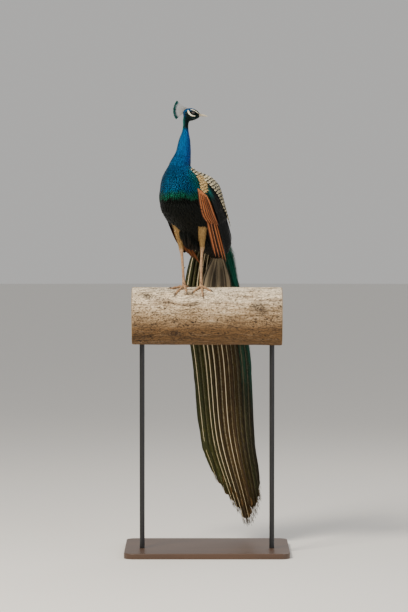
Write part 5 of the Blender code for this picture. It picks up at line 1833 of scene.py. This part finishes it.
barbs = [piece.build(barb_finish, "train_plumage") for piece in barb_pieces]
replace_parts(barbs[0], "train")
quill_piece.build(quill_finish, "train_plumage")
eye_piece.build(ocellus_finish, "train_plumage")
inner_piece.build(inner_finish, "train_plumage")

# %% [markdown]
# ## Tail
# The true tail is hidden under the train: plain grey-brown feathers with pale shafts, seen between the
# legs and the wing.

# %% Tail feathers
TAIL_COUNT = 20
TAIL_HALF = 0.0150
tail_finish = feather_finish("tail_feathers", 0.62, contrast=0.3, rate=120.0)
tail = Plumage("tail_feathers")
tail_stems = Plumage("tail_shafts")
s = 1 - (1 - np.linspace(0.0, 1.0, 16)) ** 1.3
close = np.sqrt(np.clip(1 - (np.clip(s - 0.85, 0, 1) / 0.15) ** 2, 0, 1))
halves = (TAIL_HALF * np.minimum(1.0, 0.25 + 1.8 * s) * close)[None]
stem_tone = np.array([linear(196, 180, 150)])
for k in range(TAIL_COUNT):
    sideways = 2 * k / (TAIL_COUNT - 1) - 1
    last = float(row_at(TAIL, TAIL[-1][2] + 0.05 * sideways**2))
    centre, broad, to_back, half = hanging(TAIL, last * s)
    inwards = 0.004 * (1 - abs(sideways)) * s + 0.0004 * (k % 2)
    path = (centre + broad * (half * sideways * 0.85)[:, None] - to_back * inwards[:, None])[None]
    out = to_back[None]
    tone = np.array([linear(168, 150, 122)]) * (0.12 + 1.10 * draw.random() ** 1.4)
    patch = np.array([[0.03 + 0.94 * k / TAIL_COUNT, 0.5]])
    vanes(tail, path, out, halves, 0.0012, tone, patch, (0.04, 0.9), 7, tilt=math.copysign(10.0, sideways))
    radii = (np.linspace(0.0016, 0.0004, len(s)) * draw.uniform(0.6, 1.2))[None]
    shafts(tail_stems, path - out * 0.0006, -out, radii, stem_tone, patch, (0.01, 0.9), 4)
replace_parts(tail.build(tail_finish, "tail_brown"), "tail")
tail_stems.build(quill_finish, "tail_brown")

# %% Skin colours
nearest = KDTree(sum(len(places) for places in paint_places))
for k, place in enumerate(np.concatenate(paint_places)):
    nearest.insert(place, k)
nearest.balance()
paint_colours = np.concatenate(paint_colours)
skin = to_object("skin", skin_mesh, skin_finish)
paint = skin.data.color_attributes.new("plumage", "FLOAT_COLOR", "POINT")
for vert in skin.data.vertices:
    _, k, _ = nearest.find(vert.co)
    paint.data[vert.index].color = (*paint_colours[k], 1.0)
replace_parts(skin, "head", "neck", "torso", "thigh_left", "thigh_right")

# %% [markdown]
# ## Legs and feet
# Below the hock the leg is bare and scaled: a ladder of broad scutes down the front, small scales
# behind, ringed toes with soft pads that grip the trunk, dark claws and the cock's spur.

# %% Trunk surface
PERCH_LENGTH = 0.60
PERCH_RADIUS = 0.115
TRUNK_AXIS = PERCH_TOP - PERCH_RADIUS


def trunk_radius(x, angle):
    """The trunk's radius at x; angle runs from its top towards +Y."""
    swell = 0.030 * np.sin(2 * angle + 0.6 + 1.5 * x) + 0.018 * np.sin(3 * angle + 7.0 * x)
    taper = 0.05 * x / PERCH_LENGTH
    return PERCH_RADIUS * (1.0 + (swell + taper) * np.sin(angle / 2) ** 2)


def on_trunk(x, y, lift=0.0):
    angle = math.asin(max(-1.0, min(1.0, y / PERCH_RADIUS)))
    out = np.array((0.0, math.sin(angle), math.cos(angle)))
    return np.array((x, 0.0, TRUNK_AXIS)) + out * (trunk_radius(x, angle) + lift)


# %% Leg finishes
SCUTE_PITCH = 0.0056
TOE_RING_PITCH = 0.0036


def scaled(side):
    """Buff scaly skin: dark lines between the scutes of the shank and between the rings of the toes."""
    finish = Finish("leg_scales_" + side, Roughness=0.5, Specular_IOR_Level=0.35)
    mottle = finish.noise(finish.place(), 90.0, 3.0)
    x, y, z = finish.split(finish.place(centre=leg_middle(side, 8.0)))
    wander = (mottle - 0.5) * 0.0016
    scutes = ((z + wander) * (1 / SCUTE_PITCH)).maths("FRACT")
    rings = (((x * x + y * y) ** 0.5 + wander) * (1 / TOE_RING_PITCH)).maths("FRACT")
    high = z.between(0.012, 0.020)
    step = scutes * high + rings * (1.0 - high)
    line = step.maths("PINGPONG", 0.5).between(0.13, 0.02)
    settings = {"feature": "DISTANCE_TO_EDGE"}
    cells = finish.add("ShaderNodeTexVoronoi", settings, Vector=finish.place((1, 1, 0.7)), Scale=560.0)[0]
    finish.colour(finish.layered(
        linear(146, 108, 78),
        (mottle.between(0.3, 0.7), (196, 160, 120)),
        (step.between(0.55, 1.0) * 0.30, (120, 86, 64)),
        (cells.between(0.09, 0.0) * 0.35, (98, 72, 54)),
        (line * 0.75, (66, 46, 36)),
    ))
    finish.bump(cells.between(0.0, 0.2) * 0.25 + line * -0.9 + step * 0.25, 0.0007, 0.8)
    return finish


claw_finish = Finish("claws", Roughness=0.35)
streak = claw_finish.noise(claw_finish.place(), 300.0, 2.0)
claw_finish.colour(claw_finish.layered(linear(52, 44, 38), (streak, (96, 82, 68))))

# %% Legs
LEG_SIDES = 28
LEG_VOXEL = 0.0007
TOE_STATIONS = 44
SPUR_LENGTH = 0.016
PALM_SIZE = Matrix.Diagonal((0.0100, 0.0100, 0.0070, 1.0))


def toe_frame(ground, heading, reach, lift):
    """Centre, broad way and top way of a toe whose length runs round the trunk."""
    way = turned(heading)
    round_to_ground = PERCH_RADIUS * math.asin(ground[1] / PERCH_RADIUS)

    def at(reach):
        round_to = round_to_ground + way[1] * reach
        return on_trunk(ground[0] + way[0] * reach, PERCH_RADIUS * math.sin(round_to / PERCH_RADIUS), lift)

    centre = at(reach)
    along = unit(at(reach + 0.004) - centre)
    broad = unit(np.cross(along, UP))
    return centre, broad, np.cross(broad, along)


def ellipse(sides, centre, broad, top, wide, high, ridge=0.0):
    """A ring of points round a centre; a ridge swells its upper side."""
    angle = np.linspace(0, 2 * math.pi, sides, endpoint=False)
    away = broad * (np.cos(angle) * wide)[:, None] + top * (np.sin(angle) * high)[:, None]
    return centre + away * (1.0 + 0.13 * smooth(0.0, 0.4, np.sin(angle)) * ridge)[:, None]


def shank_rings(side, ground):
    """The bare leg from the hock to the foot, stepped by its scutes in front."""
    turns = np.linspace(0.0, 360.0, LEG_SIDES, endpoint=False)
    front = smooth(0.0, 0.4, np.cos(np.radians(turns)))
    rings = []
    for t in np.linspace(HOCK_ROW - 0.25, 8.0, 220):
        points = leg(side, np.full(LEG_SIDES, t), turns)
        middle = points.mean(axis=0)
        step = ((middle[2] - ground[2]) / SCUTE_PITCH) % 1.0
        rise = front * (0.14 * (1 - step) if 4.3 < t < 7.5 else 0.05)
        narrow = 1.0 - 0.06 * (np.abs(np.sin(np.radians(turns))) if 4.6 < t < 7.2 else 0.0)
        rings.append(middle + (points - middle) * ((1.0 + rise) * narrow)[:, None] * 0.97)
    return rings


def toe_rings(ground, heading, length):
    """A toe with three soft pads below and rings of skin above."""
    rings = []
    for share in np.linspace(0.0, 1.0, TOE_STATIONS):
        pad = 0.88 + 0.16 * math.cos(share * 6.2832 * 3.0) * (1 - 0.3 * share)
        half = TOE_RADIUS * pad * (1.0 - 0.30 * share) * (1.0 if share < 0.94 else 0.82)
        lift = half * 0.80 + 0.004 * (1 - share) ** 2
        step = (length * share / TOE_RING_PITCH) % 1.0
        ridge = 1 - abs(2 * step - 1)
        rings.append(ellipse(20, *toe_frame(ground, heading, length * share, lift), half * 0.92, half, ridge))
    return rings


def claw_rings(ground, heading, length):
    """The claw at a toe's end, from inside the toe to its point."""
    rings = []
    for share in np.linspace(0.0, 1.0, 14):
        reach = length - 0.004 + (CLAW_LENGTH + 0.004) * share
        half = 0.0027 * (1 - share) ** 0.75 + 0.0003
        lift = 0.0042 * (1 - share) + 0.0006 + 0.0022 * math.sin(math.pi * share)
        rings.append(ellipse(12, *toe_frame(ground, heading, reach, lift), half * 0.8, half * 1.1))
    return rings


def spur_rings(side):
    """The cock's spur, behind the shank."""
    middle = leg_middle(side, SPUR_ROW)
    rings = []
    for share in np.linspace(0.0, 1.0, 16):
        centre = middle - FORWARD * (0.002 + SPUR_LENGTH * share) + UP * (0.006 * share**1.6)
        half = 0.0036 * (1 - share) ** 0.8 + 0.0003
        rings.append(ellipse(14, centre, LEFT, UP, half, half))
    return rings


for side in ("left", "right"):
    lofts = bmesh.new()
    claws = bmesh.new()
    ground = leg_middle(side, 8.0)
    bridged(lofts, shank_rings(side, ground))
    for turn, length in TOES:
        bridged(lofts, toe_rings(ground, FOOT_HEADING[side] + turn, length))
        bridged(claws, claw_rings(ground, FOOT_HEADING[side] + turn, length))
    palm = bmesh.ops.create_uvsphere(lofts, u_segments=20, v_segments=12, radius=1.0)["verts"]
    place = Matrix.Translation(on_trunk(ground[0], ground[1], 0.0058)) @ PALM_SIZE
    bmesh.ops.transform(lofts, matrix=place, verts=palm)
    scaled_leg = to_object("scaled_leg_" + side, remeshed(lofts, LEG_VOXEL, 1), scaled(side))
    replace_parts(scaled_leg, "shank_" + side, "foot_" + side)
    bridged(claws, spur_rings(side))
    bmesh.ops.recalc_face_normals(claws, faces=claws.faces)
    to_object("claws_and_spur_" + side, claws, claw_finish)

# %% [markdown]
# ## Perch
# A weathered trunk without bark, cut to a short length: silver-tan on top, partly sun-bleached and partly
# a painted light, browner below with painted shade, with fine grain and cracks along it, dark flecks, a few
# knots and sawn ends.

# %% Trunk mesh
TRUNK_SIDES = 120
TRUNK_STATIONS = 170
# Place along the trunk, angle from its top towards +Y, size
KNOTS = ((0.205, -1.25, 0.030), (-0.235, -0.75, 0.022), (0.10, 2.3, 0.028), (-0.13, -2.2, 0.020))


def grain(x, angle, wavelength, across):
    return noise.noise(Vector((x / wavelength, math.cos(angle) * across, math.sin(angle) * across)))


def trunk_point(x, angle, end):
    """A point of the worn surface, end being 0 at the sawn ends and 1 away from them."""
    carve = 0.0010 * (1 - abs(grain(x, angle, 0.11, 9.0))) + 0.0007 * grain(x, angle, 0.05, 26.0)
    crack = max(0.0, 0.16 - abs(grain(x + 3.0, angle, 0.22, 4.5))) / 0.16
    carve += 0.0032 * crack**3 * max(0.0, grain(x + 9.0, angle, 0.10, 3.0))
    for place, turn, size in KNOTS:
        away = math.hypot(x - place, math.remainder(angle - turn, 2 * math.pi) * PERCH_RADIUS) / size
        carve += 0.0030 * math.exp(-((away * 2.2) ** 2)) - 0.0018 * math.exp(-(((away - 0.85) / 0.28) ** 2))
    radius = (float(trunk_radius(x, angle)) - max(-0.0004, carve)) * (1 - 0.022 * (1 - end) ** 2)
    return x, math.sin(angle) * radius, TRUNK_AXIS + math.cos(angle) * radius


trunk = bmesh.new()
angles = np.linspace(0.0, 2 * math.pi, TRUNK_SIDES, endpoint=False)
rings = []
for station in range(TRUNK_STATIONS):
    share = -0.5 + station / (TRUNK_STATIONS - 1)
    end = min(1.0, (0.5 - abs(share)) / 0.010)
    rings.append([trunk_point(share * PERCH_LENGTH, angle, end) for angle in angles])
bridged(trunk, rings)
bmesh.ops.recalc_face_normals(trunk, faces=trunk.faces)
print("trunk faces:", len(trunk.faces))

# %% Trunk finish
wood = Finish("weathered_wood", Roughness=0.85, Specular_IOR_Level=0.2)
x, y, z = wood.split(wood.place(centre=(0.0, 0.0, TRUNK_AXIS)))
sway = wood.add("ShaderNodeTexNoise", None, Vector=wood.place((9.0, 20.0, 20.0)), Scale=1.0, Detail=3.0)[1]
bent = wood.vector("MULTIPLY_ADD", sway, (0.05, 0.035, 0.035), wood.place())[0]


def along_wood(lengthwise, across, detail=3.0, roughness=0.6):
    """Noise that is drawn out along the wavy grain, in waves for each metre."""
    stretched = wood.vector("MULTIPLY", bent, (lengthwise, across, across))[0]
    return wood.noise(stretched, 1.0, detail, roughness)


fibres = along_wood(12.0, 190.0, 5.0, 0.7)
strands = along_wood(6.0, 60.0)
cracks = abs(along_wood(3.0, 34.0, 4.0) - 0.5).between(0.016, 0.004)
cracks = cracks * along_wood(4.0, 9.0).between(0.47, 0.60)
patches = wood.noise(wood.place((7.0, 14.0, 14.0)), 1.0, 3.0)
blotches = wood.noise(wood.place((26.0, 34.0, 34.0)), 1.0, 4.0, 0.7)
flecks = along_wood(95.0, 260.0, 3.0, 0.7).between(0.535, 0.60) * blotches.between(0.32, 0.50)
grit = along_wood(150.0, 330.0, 2.0, 0.7)
pit_place = wood.place((70.0, 120.0, 120.0))
pits = wood.add("ShaderNodeTexVoronoi", None, Vector=pit_place, Scale=1.0, Randomness=1.0)
pit = (pits[0] + fibres * 0.3).between(0.34, 0.24) * wood.split(pits[1])[0].between(0.70, 0.72)
# Lighter towards the top: partly the sun's bleaching, partly a painted light on the top and painted shade
# below.
bleach_and_painted_light = z.between(-0.05, 0.105)
tone = wood.layered(
    linear(118, 88, 56),
    (bleach_and_painted_light, (232, 205, 166)),
    # Painted highlights: the cream patches along the top, and the pale strands and grit that show more on the
    # top.
    (z.between(0.03, 0.11) * 0.95 * patches.between(0.2, 0.5), (255, 238, 210)),
    (blotches.between(0.52, 0.70) * 0.45, (150, 122, 88)),
    (strands.between(0.50, 0.36) * 0.65, (108, 82, 54)),
    (strands.between(0.56, 0.68) * (0.10 + bleach_and_painted_light * 0.40), (244, 228, 200)),
    (grit.between(0.54, 0.66) * bleach_and_painted_light * 0.45, (250, 234, 208)),
    (grit.between(0.48, 0.38) * 0.70, (74, 56, 39)),
    (fibres.between(0.49, 0.38) * (0.85 - bleach_and_painted_light * 0.30), (70, 53, 38)),
    (flecks * 0.95, (42, 33, 26)),
    # The pits and cracks are painted near-black: painted shade in them.
    (pit * 0.85, (44, 36, 30)),
    (cracks * 0.95, (38, 30, 24)),
)
wobble = wood.noise(wood.place(), 46.0, 3.0) - 0.5
for place, turn, size in KNOTS:
    centre = (place, math.sin(turn) * PERCH_RADIUS, TRUNK_AXIS + math.cos(turn) * PERCH_RADIUS)
    away = wood.vector("LENGTH", wood.place((0.75, 1.0, 1.0), centre))[1] * (1.0 / size) + wobble * 1.5
    ridges = ((away + fibres * 0.5) * 13.0).sin() * 0.5 + 0.5
    tone = wood.layered(tone, (away.between(1.15, 0.40) * (0.30 + ridges * 0.55), (46, 36, 30)))
radius = (y * y + z * z) ** 0.5
growth = ((radius + patches * 0.010) * 1500.0).sin() * 0.5 + 0.5
split_way = y.maths("ARCTAN2", z) * 5.0 + patches * 3.0
splits = split_way.sin().between(0.985, 0.999) * radius.between(0.015, 0.045)
sawn = wood.layered(
    linear(188, 160, 118),
    (growth * 0.75, (128, 98, 64)),
    (radius.between(0.085, 0.112) * 0.5, (112, 88, 62)),
    (radius.between(0.020, 0.006) * 0.6, (96, 70, 46)),
    # The splits are painted near-black: painted shade in them.
    (splits * 0.9, (40, 30, 24)),
)
end_face = abs(x).between(0.2972, 0.2990)
wood.colour(wood.mix(end_face, tone, sawn))
relief = fibres * 0.5 + strands * 0.4 - pit * 0.5 - cracks * 0.9 - flecks * 0.3
wood.bump(relief * (1.0 - end_face) + (growth * 0.15 - splits * 0.6) * end_face, 0.0030, 0.7)
perch = to_object("trunk", trunk, wood)
perch.data.set_sharp_from_angle(angle=math.radians(50))
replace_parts(perch, "perch")

# %% [markdown]
# ## Stand
# Two rods on a flat base hold the trunk. The solids already have the right shape, so they only
# get better finishes: oiled dark wood and satin black steel.

# %% Stand finishes
base_finish = Finish("stand_wood", Roughness=0.42, Coat_Weight=0.12)
lines = base_finish.noise(base_finish.place((4.0, 70.0, 70.0)), 1.0, 4.0)
waves = base_finish.noise(base_finish.place((1.5, 9.0, 9.0)), 1.0, 2.0)
base_finish.colour(base_finish.layered(linear(48, 34, 26), (lines * 0.6 + waves * 0.4, (96, 68, 48))))
base_finish.bump(lines, 0.0004, 0.35)
rod_finish = Finish("stand_steel", Roughness=0.38, Metallic=0.85)
brushed = rod_finish.noise(rod_finish.place((400.0, 400.0, 12.0)), 1.0, 2.0)
rod_finish.colour(rod_finish.mix(brushed, (0.030, 0.030, 0.032), (0.060, 0.060, 0.062)))
rod_finish.bump(brushed, 0.0001, 0.3)
for name, finish in (("base", base_finish), ("rod_left", rod_finish), ("rod_right", rod_finish)):
    for material_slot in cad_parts["stand_" + name].material_slots:
        material_slot.material = finish.material

# %% Sizes
visual_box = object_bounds()
for name, box in (("solids", cad_box), ("dressed", visual_box)):
    print(name, [round(v, 4) for corner in box for v in corner])
shown = [o for o in scene.objects if o.type == "MESH" and not o.hide_render]
print("triangles in all:", sum(len(p.vertices) - 2 for o in shown for p in o.data.polygons))
